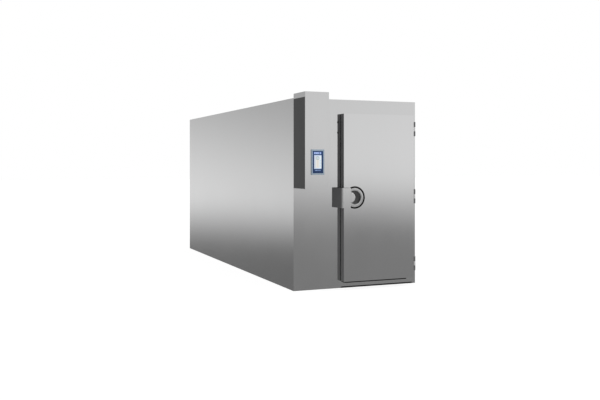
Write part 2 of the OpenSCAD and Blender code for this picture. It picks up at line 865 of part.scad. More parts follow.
board = [190, 2, 320];
module control_board() {
    off = 10;
    x = plate_x[0] + chassis_margin;
    z = plate_z[1] - 3 * chassis_margin - board[2];
    y = plate_front - off;
    color("darkgreen") cabinet() {
        block([x, x + board[0]], [y - board[1], y], [z, z + board[2]]);
        for (dx = [8, board[0] - 8], dz = [8, board[2] - 8]) rod_y(x + dx, [y, plate_front], z + dz, 4);
        for (i = [0:2]) block([x + 20, x + 60], [y - board[1] - 25, y - board[1]], [z + 30 + 90 * i, z + 90 + 90 * i]);
        block([x + 85, x + 165], [y - board[1] - 12, y - board[1]], [z + 150, z + 230]);
    }
}

terminal = [8, 40, 50];
module terminal_rail() {
    z = plate_z[0] + chassis_margin;
    count = floor((plate_x[1] - plate_x[0] - 2 * chassis_margin) / (terminal[0] + 1));
    rail_h = 35;
    rail_t = 8;
    color("gray") cabinet() {
        block(plate_x, [plate_front - rail_t, plate_front], [z, z + rail_h]);
        for (i = [0:count - 1]) {
            x = plate_x[0] + chassis_margin + i * (terminal[0] + 1);
            block([x, x + terminal[0]], [plate_front - rail_t - terminal[1], plate_front - rail_t],
                [z - (terminal[2] - rail_h) / 2, z + (terminal[2] + rail_h) / 2]);
        }
    }
}

module display_housing() {
    y = [column_front - display_d, column_front];
    color("silver") cabinet() difference() {
        round_slab([display_x, display_x + display_w], y, [display_z, display_z + display_h], display_r);
        block(glass_x, [y[0] - over, y[0] + display_d / 2], glass_z);
    }
}

module display_glass() {
    y = column_front - display_d;
    color("navy") cabinet() block([glass_x[0] + joint_gap, glass_x[1] - joint_gap],
        [y + glass_t / 4, y + display_d / 2], [glass_z[0] + joint_gap, glass_z[1] - joint_gap]);
}

module cable_gland() {
    x = column_w / 2;
    color("black") cabinet() difference() {
        union() {
            rod_z(x, -gland_y, [column_top, column_top + gland_h], gland_r - 2);
            translate([x, -gland_y, column_top]) cylinder(r = gland_r, h = gland_h / 2, $fn = 6);
        }
        rod_z(x, -gland_y, [column_top - over, column_top + gland_h + over], gland_bore);
    }
}

// Evaporator and fans

function fan_y(i) = in_y[0] + bay_l * (i + 0.5);

module fan_partition() {
    color("gainsboro") cabinet() for (s = [0:sections - 1]) {
        y = [in_y[0] + section_l * s + joint_gap, in_y[0] + section_l * (s + 1) - joint_gap];
        difference() {
            union() {
                block([partition_back, partition_x], y, [tray_z[1], in_z[1]]);
                for (i = [2 * s, 2 * s + 1])
                    rod_x([partition_x - fan_ring_d, partition_x], fan_y(i), fan_height, ring_inner_r + ring_sheet);
            }
            for (i = [2 * s, 2 * s + 1])
                rod_x([partition_x - fan_ring_d - over, partition_x + over], fan_y(i), fan_height, ring_inner_r);
        }
    }
}

// A flat ring about X, from x to x + h
module ring_x(x, h, r_in, r_out) {
    difference() {
        rod_x([x, x + h], 0, 0, r_out);
        rod_x([x - over, x + h + over], 0, 0, r_in);
    }
}

module fan_guards() {
    rim_r = ring_inner_r + ring_sheet;
    w = guard_wire;
    color("silver") cabinet() for (i = [0:bays - 1]) translate([partition_x, fan_y(i), fan_height]) {
        ring_x(0, 4 * w, rim_r, rim_r + 2 * w);
        for (k = [1:guard_rings - 1])
            ring_x(2 * w, 2 * w, rim_r * k / guard_rings - w, rim_r * k / guard_rings + w);
        for (a = [0:60:179]) rotate([a, 0, 0])
            block([w, 3 * w], [-rim_r - w, rim_r + w], [-w, w]);
        rod_x([w / 2, 4.5 * w], 0, 0, guard_plate_r);
    }
}

module fan_motors() {
    arm_x = [motor_x - motor_l / 2, motor_x - motor_l / 2 + 6];
    color("dimgray") cabinet() for (i = [0:bays - 1]) {
        y = fan_y(i);
        z = fan_height;
        rod_x([motor_x - motor_l, motor_x], y, z, motor_r);
        rod_x([motor_x, impeller_x + impeller_half - 5], y, z, shaft_r);
        block(arm_x, [y - bracket_reach, y + bracket_reach], [z - bracket_w / 2, z + bracket_w / 2]);
        block(arm_x, [y - bracket_w / 2, y + bracket_w / 2], [z - bracket_reach, z + bracket_reach]);
        for (a = [0:90:270])
            rod_x([arm_x[0], partition_back], y + bracket_reach * cos(a), z + bracket_reach * sin(a), bracket_w / 3);
    }
}

module impeller(i) {
    color("black") cabinet() translate([impeller_x, fan_y(i), fan_height]) difference() {
        union() {
            rod_x([-impeller_half, impeller_half], 0, 0, fan_hub_r);
            intersection() {
                for (k = [0:blades - 1]) rotate([360 / blades * k, 0, 0]) rotate([0, 0, blade_pitch])
                    translate([-blade_t / 2, -blade_w / 2, fan_hub_r / 2]) cube([blade_t, blade_w, fan_r]);
                rod_x([-impeller_half, impeller_half], 0, 0, fan_r);
            }
        }
        rod_x([-impeller_half - over, impeller_half - 4], 0, 0, shaft_r + run_fit);
    }
}

module impeller_1() { impeller(0); }
module impeller_2() { impeller(1); }
module impeller_3() { impeller(2); }
module impeller_4() { impeller(3); }
module impeller_5() { impeller(4); }
module impeller_6() { impeller(5); }

module evaporator_coils() {
    color("lightgray") cabinet() for (s = [0:sections - 1]) {
        y = [in_y[0] + section_l * s + coil_end, in_y[0] + section_l * (s + 1) - coil_end];
        block(coil_x, y, coil_z);
        for (p = [y[0] - coil_plate, y[1]]) block([in_x[0], coil_x[1] + coil_off], [p, p + coil_plate],
            [tray_z[1], coil_z[1] + coil_off]);
    }
}

module coil_headers() {
    start = in_y[0] + section_l / 2;
    color("peru") cabinet() for (pipe = [[suction_x, suction_r], [liquid_x, liquid_r]]) {
        rod_y(pipe[0], [start - pipe[1], body_l], pipe_z, pipe[1]);
        for (s = [0:sections - 1]) rod_z(pipe[0], start + section_l * s, [coil_z[1], pipe_z], pipe[1] * 0.8);
    }
}

module drip_tray() {
    x = [in_x[0], partition_x];
    y = [in_y[0] + joint_gap, tray_end];
    color("silver") cabinet() difference() {
        block(x, y, tray_z);
        block([x[0] + tray_t, x[1] - tray_t], [y[0] + tray_t, y[1] - tray_t], [tray_z[0] + tray_t, tray_z[1] + over]);
        rod_y(drain_x, [y[1] - over - tray_t, y[1] + over], drain_z, drain_r - drain_t);
    }
}

module drain_pipe() {
    color("darkgray") cabinet() difference() {
        union() {
            rod_y(drain_x, [tray_end, reach_back], drain_z, drain_r);
            rod_y(drain_x, [body_l, body_l + collar_t], drain_z, drain_r + collar_w);
        }
        rod_y(drain_x, [tray_end - over, reach_back + over], drain_z, drain_r - drain_t);
    }
}

module pipe_stubs() {
    color("peru") cabinet() for (pipe = [[suction_x, suction_r], [liquid_x, liquid_r]]) difference() {
        union() {
            rod_y(pipe[0], [body_l, reach_back], pipe_z, pipe[1]);
            rod_y(pipe[0], [body_l, body_l + collar_t], pipe_z, pipe[1] + collar_w);
        }
        rod_y(pipe[0], [body_l - over, reach_back + over], pipe_z, pipe[1] - copper_t);
    }
}

// Trolley lane

module guide_rail(wall_x, side) {
    y = [in_y[0] + rail_end, in_y[1] - rail_end];
    posts = ceil((y[1] - y[0]) / post_pitch);
    step = (y[1] - y[0] - 4 * post_r) / posts;
    for (z = rail_heights) {
        rod_y(wall_x + side * rail_off, y, floor_t + z, rail_r);
        for (k = [0:posts]) rod_x([min(wall_x, wall_x + side * rail_off), max(wall_x, wall_x + side * rail_off)],
            y[0] + 2 * post_r + step * k, floor_t + z, post_r);
    }
}

module guide_rails() {
    color("silver") cabinet() {
        guide_rail(partition_x, 1);
        guide_rail(in_x[1], -1);
    }
}

module ceiling_lamps() {
    mid = (partition_x + in_x[1]) / 2;
    color("white") cabinet() for (k = [0:lamps - 1]) {
        y = in_y[0] + in_l * (k + 0.5) / lamps;
        block([mid - lamp_w / 2, mid + lamp_w / 2], [y - lamp_l / 2, y + lamp_l / 2], [in_z[1] - lamp_h + lens_h, in_z[1]]);
        block([mid - lamp_w / 2 + 5, mid + lamp_w / 2 - 5], [y - lamp_l / 2 + 5, y + lamp_l / 2 - 5],
            [in_z[1] - lamp_h, in_z[1] - lamp_h + lens_h]);
    }
}

slab_cores();
floor_skins();
wall_cores();
left_wall_skins();
right_wall_skins();
rear_wall_skins();
roof_skins();
front_core();
front_skins();
relief_valve();
door_frame();
sill_plate();
foot_seal();
frame_plugs();
hinge_brackets();
hinge_pins();
hinge_screws();
strike_pad();
door_skin();
door_edge();
door_core();
door_liner();
door_gasket();
door_sweep();
hinge_leaves();
handle_cover();
handle_caps();
latch_case();
lever_pin();
escutcheon();
escutcheon_ring();
finger_recess();
handle_lever();
push_plunger();
column_cover();
column_side_panel();
column_cap();
column_chassis();
contactors();
control_board();
terminal_rail();
display_housing();
display_glass();
cable_gland();
fan_partition();
fan_guards();
fan_motors();
impeller_1();
impeller_2();
impeller_3();
impeller_4();
impeller_5();
impeller_6();
evaporator_coils();
coil_headers();
drip_tray();
drain_pipe();
pipe_stubs();
guide_rails();
ceiling_lamps();
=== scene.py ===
"""The looks of a roll-in blast chiller, built around its packed CAD model."""

import json
from math import cos, pi, radians, sin, sqrt

import bmesh
import bpy
from bpy.props import FloatProperty, FloatVectorProperty, IntProperty, PointerProperty
from mathutils import Matrix, Vector


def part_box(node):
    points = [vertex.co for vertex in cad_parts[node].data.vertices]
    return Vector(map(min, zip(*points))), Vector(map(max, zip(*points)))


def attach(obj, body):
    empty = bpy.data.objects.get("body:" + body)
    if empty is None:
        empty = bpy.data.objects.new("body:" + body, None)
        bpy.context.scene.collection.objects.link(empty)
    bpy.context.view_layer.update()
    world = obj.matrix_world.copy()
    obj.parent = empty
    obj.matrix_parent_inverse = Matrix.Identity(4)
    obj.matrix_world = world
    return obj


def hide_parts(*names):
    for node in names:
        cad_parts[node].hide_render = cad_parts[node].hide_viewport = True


bl_info = {
    "name": "Blast chiller looks",
    "version": (1, 0, 0),
    "blender": (4, 5, 0),
    "location": "3D View > Sidebar > Chiller",
    "description": "Finishes, screen, seals, fans and fittings of a roll-in blast chiller",
    "category": "Object",
}

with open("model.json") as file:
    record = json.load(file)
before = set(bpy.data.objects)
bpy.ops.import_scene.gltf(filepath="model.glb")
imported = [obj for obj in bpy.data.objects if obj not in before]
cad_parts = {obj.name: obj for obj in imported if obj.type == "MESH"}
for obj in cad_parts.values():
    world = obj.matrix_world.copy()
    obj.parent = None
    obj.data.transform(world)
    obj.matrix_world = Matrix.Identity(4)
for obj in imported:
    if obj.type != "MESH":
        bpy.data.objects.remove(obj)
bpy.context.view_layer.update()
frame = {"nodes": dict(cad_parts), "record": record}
CORNER = Vector(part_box("left_wall_skins")[0])
X, Y, Z = Vector((1, 0, 0)), Vector((0, 1, 0)), Vector((0, 0, 1))

# The fans by number, and the three bays of the lane, each with a coil and a lamp
FANS, BAYS = range(1, 7), range(3)

# Places in millimetres from the cabinet's front left corner: along its depth, across it and up
LEAF_FRONT, LEAF_BACK, WALL_FRONT, LANE_FRONT, LANE_BACK, WALL_BACK = -185, -100, 0, 100, 4960, 5060
COIL_START, COIL_MIDDLE, BAY_STEP = 140, 910, 1620
LEAF_EDGE, COIL_LEFT, COIL_RIGHT = 1577.9, 105, 285
COIL_BOTTOM, COIL_TOP, HEADER_HEIGHT = 260, 2150, 2195

# In metres: heights of the hinges, a coil tube's radius, and each pipe's place across (mm) with its radius
HINGE_HEIGHTS = (0.282, 1.135, 1.990)
COIL_TUBE = 0.008
PIPES = ((245, 0.02065), (150, 0.0111))


def at(x, y, z):
    """A point from the cabinet's front left corner on the floor, in millimetres."""
    return CORNER + Vector((x, y, z)) / 1000


def span(node):
    """Lowest and highest corner of a CAD node."""
    low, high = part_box(node)
    return Vector(low), Vector(high)


def on_axis(low, high, y):
    """The middle of a box from left to right and from bottom to top, at y."""
    return Vector(((low.x + high.x) / 2, y, (low.z + high.z) / 2))


def fan_centre(number):
    """Where a fan's joint turns, in the packed record."""
    joints = frame["record"]["behaviour"]["joints"]
    return Vector(next(j for j in joints if j["name"] == f"fan_spin_{number}")["pos_m"])


# Soft light in front of the cabinet and beside it: how bright the studio's floor, wall and ceiling are, and
# the heights above the horizon, in degrees, between which each passes into the next
FRONT_LIGHT = {"floor": 0.28, "wall": 0.98, "ceiling": 0.9, "rise": (-5.6, -0.3), "fall": (0.5, 8.0)}
SIDE_LIGHT = {"floor": 0.2, "wall": 0.93, "ceiling": 0.54, "rise": (-7.0, -2.4), "fall": (-3.3, 6.7)}


# Settings


def colour_setting(name, description, default):
    """A setting that holds a colour."""
    return FloatVectorProperty(name=name, description=description, subtype="COLOR", default=default)


class ChillerFinishes(bpy.types.PropertyGroup):
    """Colours and gloss of the chiller's surfaces."""

    steel: colour_setting("Steel", "Colour of the outer sheets", (0.62, 0.62, 0.622))
    steel_roughness: FloatProperty(
        name="Steel roughness", description="Roughness of the brushed sheets", default=0.14, min=0, max=1
    )
    lining: colour_setting("Lining", "Colour of the inner sheets", (0.6, 0.6, 0.6))
    dark: colour_setting("Dark profile", "Colour of the frame and edges", (0.055, 0.055, 0.056))
    black: colour_setting("Black", "Colour of rubber and black plastic", (0.014, 0.014, 0.014))
    screen_blue: colour_setting("Screen blue", "Border of the display's picture", (0.016, 0.041, 0.115))
    screen_glow: FloatProperty(
        name="Screen glow", description="Strength of the display's light", default=0.95, min=0, max=5
    )


class ChillerDetails(bpy.types.PropertyGroup):
    """Sizes of details that only the looks have."""

    fin_pitch: FloatProperty(
        name="Fin pitch", description="Distance between the coils' fins", subtype="DISTANCE", default=0.012
    )
    guard_wires: IntProperty(
        name="Guard rings", description="Wire rings in a fan guard", default=11, min=4, max=20
    )
    tread_ribs: IntProperty(
        name="Tread ribs", description="Ribs on the sill's tread", default=5, min=1, max=12
    )


class ChillerStage(bpy.types.PropertyGroup):
    """Camera and surroundings."""

    lens: FloatProperty(
        name="Lens", description="Focal length in millimetres", default=45.652, subtype="DISTANCE_CAMERA"
    )
    turn: FloatProperty(
        name="Turn", description="Camera's turn to the right", subtype="ANGLE", default=radians(22.53)
    )
    shift: FloatProperty(name="Shift", description="Upward shift of the picture", default=-0.0618)
    camera_place: FloatVectorProperty(
        name="Camera", description="Place of the camera", subtype="TRANSLATION",
        default=(-4.3253, -10.9564, 1.5602),
    )


# Meshes


def rounded(part, width, segments):
    """Bevels the edges that are sharper than 30 degrees."""
    sharp = [e for e in part.edges if e.is_manifold and e.calc_face_angle(0) > radians(30)]
    if sharp and width > 0:
        bmesh.ops.bevel(
            part, geom=sharp, offset=width, offset_type="OFFSET", affect="EDGES", segments=segments,
            profile=0.5, material=-1, clamp_overlap=True,
        )


def only_verts(geometry):
    """The vertices in what an operator returns."""
    return [g for g in geometry if isinstance(g, bmesh.types.BMVert)]


class Shape:
    """A mesh in the making. Each solid is shaped on its own and then added."""

    def __init__(self):
        self.mesh = bmesh.new()

    def add(self, make, edge=0.0, segments=2, finish=0, merge=1e-6):
        part = bmesh.new()
        make(part)
        bmesh.ops.remove_doubles(part, verts=part.verts, dist=merge)
        bmesh.ops.recalc_face_normals(part, faces=part.faces)
        rounded(part, edge, segments)
        for face in part.faces:
            face.material_index = finish
        mesh = bpy.data.meshes.new("part")
        part.to_mesh(mesh)
        part.free()
        self.mesh.from_mesh(mesh)
        bpy.data.meshes.remove(mesh)

    def box(self, low, high, edge=0.0, segments=2, finish=0, turn=None):
        def make(part):
            verts = bmesh.ops.create_cube(part, size=1.0)["verts"]
            bmesh.ops.scale(part, verts=verts, vec=high - low)
            if turn:
                bmesh.ops.transform(part, verts=verts, matrix=turn)
            bmesh.ops.translate(part, verts=verts, vec=(low + high) / 2)

        self.add(make, edge, segments, finish)

    def block(self, x, y, z, edge=0.0, segments=2, finish=0):
        """A box from its ends along each axis."""
        low, high = (Vector((x[k], y[k], z[k])) for k in range(2))
        self.box(low, high, edge, segments, finish)

    def bar(self, start, end, radius, sides=24, edge=0.0, finish=0):
        def make(part):
            turn = Z.rotation_difference(end - start).to_matrix().to_4x4()
            bmesh.ops.create_cone(
                part, cap_ends=True, segments=sides, radius1=radius, radius2=radius,
                depth=(end - start).length, matrix=Matrix.Translation((start + end) / 2) @ turn,
            )

        self.add(make, edge, 2, finish)

    def ring(self, centre, axis, profile, steps, finish=0, closed=True):
        """Spins a profile of (radius, height) pairs round an axis; closed joins its ends."""

        def make(part):
            side = axis.orthogonal().normalized()
            verts = [part.verts.new(centre + side * r + axis * h) for r, h in profile]
            pairs = list(zip(verts, verts[1:])) + ([(verts[-1], verts[0])] if closed else [])
            edges = [part.edges.new(pair) for pair in pairs]
            bmesh.ops.spin(
                part, geom=verts + edges, cent=centre, axis=axis, dvec=(0, 0, 0), angle=2 * pi,
                steps=steps, use_merge=True,
            )

        self.add(make, 0.0, 2, finish)

    def knob(self, centre, axis, profile, steps, finish=0):
        """Spins a profile that starts and ends on the axis, or closes on itself there."""
        self.ring(centre, axis, profile, steps, finish, closed=False)

    def wire_ring(self, centre, axis, radius, wire, steps, sides):
        turns = [2 * pi * k / sides for k in range(sides)]
        self.ring(centre, axis, [(radius + wire * cos(t), wire * sin(t)) for t in turns], steps)

    def copy(self, node, edge, segments=2):
        """A CAD node's shape, with its sharp edges rounded."""

        def make(part):
            part.from_mesh(frame["nodes"][node].data)
            bmesh.ops.remove_doubles(part, verts=part.verts, dist=1e-5)
            bmesh.ops.dissolve_limit(
                part, angle_limit=radians(0.5), verts=part.verts, edges=part.edges, delimit={"NORMAL"}
            )

        self.add(make, edge, segments, merge=1e-5)


def piece(name, shape, body, finishes, node, smooth=35.0):
    """Makes the object of a finished shape, and says what it rides on and stands for."""
    mesh = bpy.data.meshes.new(name)
    shape.mesh.to_mesh(mesh)
    shape.mesh.free()
    for finish in finishes:
        mesh.materials.append(FINISHES[finish])
    mesh.polygons.foreach_set("use_smooth", [True] * len(mesh.polygons))
    mesh.set_sharp_from_angle(angle=radians(smooth))
    obj = bpy.data.objects.new(name, mesh)
    bpy.context.scene.collection.objects.link(obj)
    normals = obj.modifiers.new("flat faces stay flat", "WEIGHTED_NORMAL")
    normals.weight, normals.keep_sharp = 80, True
    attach(obj, body)
    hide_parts(node)


def dressed(name, node, body, finish, edge, segments=2, smooth=35.0):
    """A piece that is its CAD node with rounded edges."""
    shape = Shape()
    shape.copy(node, edge, segments)
    piece(name, shape, body, [finish], node, smooth)


# Materials


def math_node(operation, swapped=False):
    """A method of Sock that adds a math node, with its two values swapped if asked."""

    def method(self, other):
        a, b = (other, self) if swapped else (self, other)
        return self.nodes.node("ShaderNodeMath", {"operation": operation}, {0: a, 1: b})

    return method


class Sock:
    """A shader value that can stand in a sum."""

    def __init__(self, nodes, socket):
        self.nodes, self.socket = nodes, socket

    __add__ = __radd__ = math_node("ADD")
    __sub__, __rsub__ = math_node("SUBTRACT"), math_node("SUBTRACT", swapped=True)
    __mul__ = __rmul__ = math_node("MULTIPLY")
    __truediv__ = math_node("DIVIDE")
    __gt__, __lt__ = math_node("GREATER_THAN"), math_node("LESS_THAN")


class Nodes:
    """A node tree, and the one way that nodes are added to it."""

    def __init__(self, tree):
        self.tree = tree
        tree.nodes.clear()

    def node(self, kind, settings=None, values=None, out=0):
        node = self.tree.nodes.new(kind)
        for name, value in (settings or {}).items():
            setattr(node, name, value)
        for name, value in (values or {}).items():
            if isinstance(value, Sock):
                self.tree.links.new(value.socket, node.inputs[name])
            else:
                node.inputs[name].default_value = value
        return Sock(self, node.outputs[out]) if len(node.outputs) else None

    def mix(self, factor, a, b):
        """Mixes two colours."""
        a, b = [(*c, 1) if isinstance(c, tuple) else c for c in (a, b)]
        return self.node("ShaderNodeMix", {"data_type": "RGBA"}, {0: factor, 6: a, 7: b}, 2)

    def limit(self, value, low, high):
        return self.node("ShaderNodeClamp", None, {0: value, 1: low, 2: high})

    def passing(self, value, start, end, kind="SMOOTHSTEP"):
        """Goes from 0 to 1 while value goes from start to end."""
        ends = {0: value, 1: start, 2: end, 3: 0.0, 4: 1.0}
        return self.node("ShaderNodeMapRange", {"interpolation_type": kind}, ends)

    def split(self, vector):
        first = self.node("ShaderNodeSeparateXYZ", None, {0: vector})
        outputs = first.socket.node.outputs
        return [Sock(self, outputs[k]) for k in range(3)]


class Finish(Nodes):
    """One material, drawn on Object coordinates in metres."""

    def __init__(self, name):
        self.name = name
        self.material = bpy.data.materials.new(name)
        self.material.use_nodes = True
        super().__init__(self.material.node_tree)
        self.place = self.node("ShaderNodeTexCoord", None, None, "Object")

    def noise(self, stretch, detail=2.0, rough=0.5):
        """Noise with that many features per metre along X, Y and Z."""
        place = self.node("ShaderNodeVectorMath", {"operation": "MULTIPLY"}, {0: self.place, 1: stretch})
        values = {"Vector": place, "Scale": 1.0, "Detail": detail, "Roughness": rough}
        return self.node("ShaderNodeTexNoise", None, values)

    def bump(self, height, distance, under=None):
        values = {"Height": height, "Distance": distance, "Strength": 1.0}
        if under:
            values["Normal"] = under
        return self.node("ShaderNodeBump", None, values)

    def done(self, **sockets):
        """Ends the material in a Principled shader with these socket values."""
        values = {name.replace("_", " "): value for name, value in sockets.items()}
        colour = values.get("Base Color")
        if isinstance(colour, tuple) and len(colour) == 3:
            values["Base Color"] = (*colour, 1)
        shader = self.node("ShaderNodeBsdfPrincipled", None, values)
        self.node("ShaderNodeOutputMaterial", None, {"Surface": shader})
        FINISHES[self.name] = self.material


FINISHES = {}
# Features per metre along X, Y and Z: of a brush's streaks, by the way they run, and of dust
ALONG = {"x": (6, 900, 900), "y": (900, 6, 900), "z": (900, 900, 6)}
DUST = (5.0, 5.0, 3.0)


def shade(colour, factor):
    """A colour made lighter or darker."""
    return tuple(c * factor for c in colour)


def brushed(name, colour, roughness, along, contrast=0.04, waviness=0.0004, coarse=None):
    """Brushed sheet metal: fine streaks along one axis, soft clouds and a faint waviness.

    A sheet that faces another one close by is brushed more coarsely beyond x = coarse.
    """
    f = Finish(name)
    streaks = f.noise(ALONG[along], 3)
    bands = f.noise(tuple(v / 18 for v in ALONG[along]), 2)
    clouds = f.noise((2.1, 1.7, 1.9), 2)
    tone = streaks * 0.5 + bands * 0.3 + clouds * 0.2
    colour = f.mix(tone, shade(colour, 1 - contrast), shade(colour, 1 + contrast))
    rough = roughness + (streaks - 0.5) * 0.06 + (clouds - 0.5) * 0.05
    if coarse is not None:
        x, _, _ = f.split(f.place)
        rough = rough + (x > coarse) * 0.3
    wave = f.bump(f.noise((1.1, 0.9, 1.3), 0), waviness)
    grain = f.bump(streaks, 0.00001, wave)
    f.done(Base_Color=colour, Metallic=1.0, Roughness=rough, Normal=grain)


def moulded(name, colour, roughness, grain=900.0, gloss=0.5):
    """Moulded plastic, rubber, paint or coated metal with a fine grain and faint dust."""
    f = Finish(name)
    fine = f.noise((grain, grain, grain), 2)
    dust = f.noise(DUST, 4, 0.6)
    f.done(
        Base_Color=f.mix(fine * 0.6 + dust * 0.4, shade(colour, 0.92), shade(colour, 1.08)),
        Roughness=roughness + (dust - 0.5) * 0.12, Normal=f.bump(fine, 0.00002), Specular_IOR_Level=gloss,
    )


def shaded_bend_steel(name, colour, roughness, guard):
    """Brushed steel whose side face wears a dark film that ends softly on the bend."""
    f = Finish(name)
    low, bend = span("handle_cover")[0], 0.027
    streaks = f.noise(ALONG["z"], 3)
    x, _, _ = f.split(f.place)
    # painted shade: dark on the side face, passing to steel across the bend
    unshaded = f.passing(x, low.x, low.x + bend)
    tone = f.mix(streaks, shade(colour, 0.97), shade(colour, 1.03))
    f.done(
        Base_Color=f.mix(unshaded, guard, tone), Metallic=unshaded, Roughness=roughness + 0.3 * (1 - unshaded),
        Normal=f.bump(streaks, 0.00001), Specular_IOR_Level=0.25,
    )


def frame_with_gap_shade(name, colour, black):
    """Dark frame profile with a black strip round its front, where the gasket lies."""
    f = Finish(name)
    low, high = span("door_frame")
    x, y, z = f.split(f.place)
    dust = f.noise(DUST, 4, 0.6)
    wide, thick = 0.042, 0.0012
    # painted shade: a black band on the front face round three sides, darkening the gap by the door's edge
    rim = (x < low.x + wide) + (x > high.x - wide) + (z > high.z - wide)
    strip = (y < low.y + thick) * f.limit(rim, 0.0, 1.0)
    colour = f.mix(dust, shade(colour, 0.95), shade(colour, 1.05))
    f.done(
        Base_Color=f.mix(strip, colour, black), Roughness=0.5 + (dust - 0.5) * 0.12 + strip * 0.3,
        Specular_IOR_Level=0.35,
    )


def screen_picture(name, blue, glow):
    """The display's picture: plain panels, a dial, a bar and a row of buttons, with no words."""
    f = Finish(name)
    low, high = span("display_glass")
    x, _, z = f.split(f.place)
    wide, tall = high.x - low.x, high.z - low.z
    u = (x - low.x) / wide
    v = (z - low.z) / tall

    def area(left, right, bottom, top):
        return (u > left) * (u < right) * (v > bottom) * (v < top)

    def disc(radius):
        across, up = (u - 0.48) * (wide / tall), v - 0.68
        return (across * across + up * up) < radius * radius

    panel_left, panel_right = 0.152, 0.84
    panel = f.mix(u, (0.56, 0.6, 0.72), (0.86, 0.96, 1.0))
    tabs = ((0.15, 0.3), (0.33, 0.5), (0.53, 0.62), (0.68, 0.8))
    header = [(area(left, right, 0.872, 0.945), (0.46, 0.6, 1.0)) for left, right in tabs]
    buttons = [(area(0.69, 0.79, 0.3 + k * 0.12, 0.36 + k * 0.12), (0.6, 0.74, 0.88)) for k in range(3)]
    colour = f.mix(v, shade(blue, 0.9), shade(blue, 1.2))
    for where, paint in [
        (u < 0.03, (0.19, 0.25, 0.4)),
        (area(0.1, 0.88, 0.835, 0.965), shade(blue, 1.7)),
        *header,
        (area(panel_left, panel_right, 0.195, 0.82), panel),
        (area(panel_left, panel_right, 0.77, 0.82), (0.56, 0.66, 0.84)),
        (area(panel_left, panel_right, 0.195, 0.225), (0.52, 0.64, 0.86)),
        (area(0.3, 0.64, 0.24, 0.75), (0.8, 0.79, 0.76)),
        (area(0.42, 0.54, 0.27, 0.6), (0.76, 0.72, 0.67)),
        (disc(0.082), (0.36, 0.46, 0.46)),
        (disc(0.055), (0.74, 0.82, 0.85)),
        (disc(0.022), (0.3, 0.42, 0.5)),
        *buttons,
        (area(0.22, 0.78, 0.105, 0.15), (0.15, 0.23, 0.44)),
        (area(0.3, 0.4, 0.112, 0.143), (0.3, 0.42, 0.66)),
    ]:
        colour = f.mix(where, colour, paint)
    smear = f.noise((14, 14, 9), 3)
    f.done(
        Base_Color=(0.004, 0.004, 0.005), Roughness=0.06 + smear * 0.1, Emission_Color=colour,
        Emission_Strength=glow, Specular_IOR_Level=0.12,
    )


def foam_finish(name, colour):
    """Rigid foam with cells."""
    f = Finish(name)
    values = {"Vector": f.place, "Scale": 400.0}
    cells = f.node("ShaderNodeTexVoronoi", {"feature": "DISTANCE_TO_EDGE"}, values)
    tone = f.noise((12, 12, 12), 3)
    colour = f.mix(tone, shade(colour, 0.9), shade(colour, 1.08))
    f.done(Base_Color=colour, Roughness=0.85, Normal=f.bump(cells, 0.0003))


def board_finish(name, colour):
    """A circuit board with tracks."""
    f = Finish(name)
    values = {"Vector": f.place, "Scale": 60.0, "Mortar Size": 0.02}
    tracks = f.node("ShaderNodeTexBrick", None, values, "Fac")
    colour = f.mix(tracks, colour, shade(colour, 2.2))
    f.done(Base_Color=colour, Roughness=0.4, Normal=f.bump(tracks, 0.0001))


def lamp_finish(name):
    """An opal lens, lit from inside."""
    f = Finish(name)
    cloud = f.noise((4, 4, 4), 2)
    colour = f.mix(cloud, (0.93, 0.95, 0.97), (1.0, 1.0, 0.98))
    f.done(Base_Color=(0.9, 0.9, 0.88), Roughness=0.35, Emission_Color=colour, Emission_Strength=11.0)


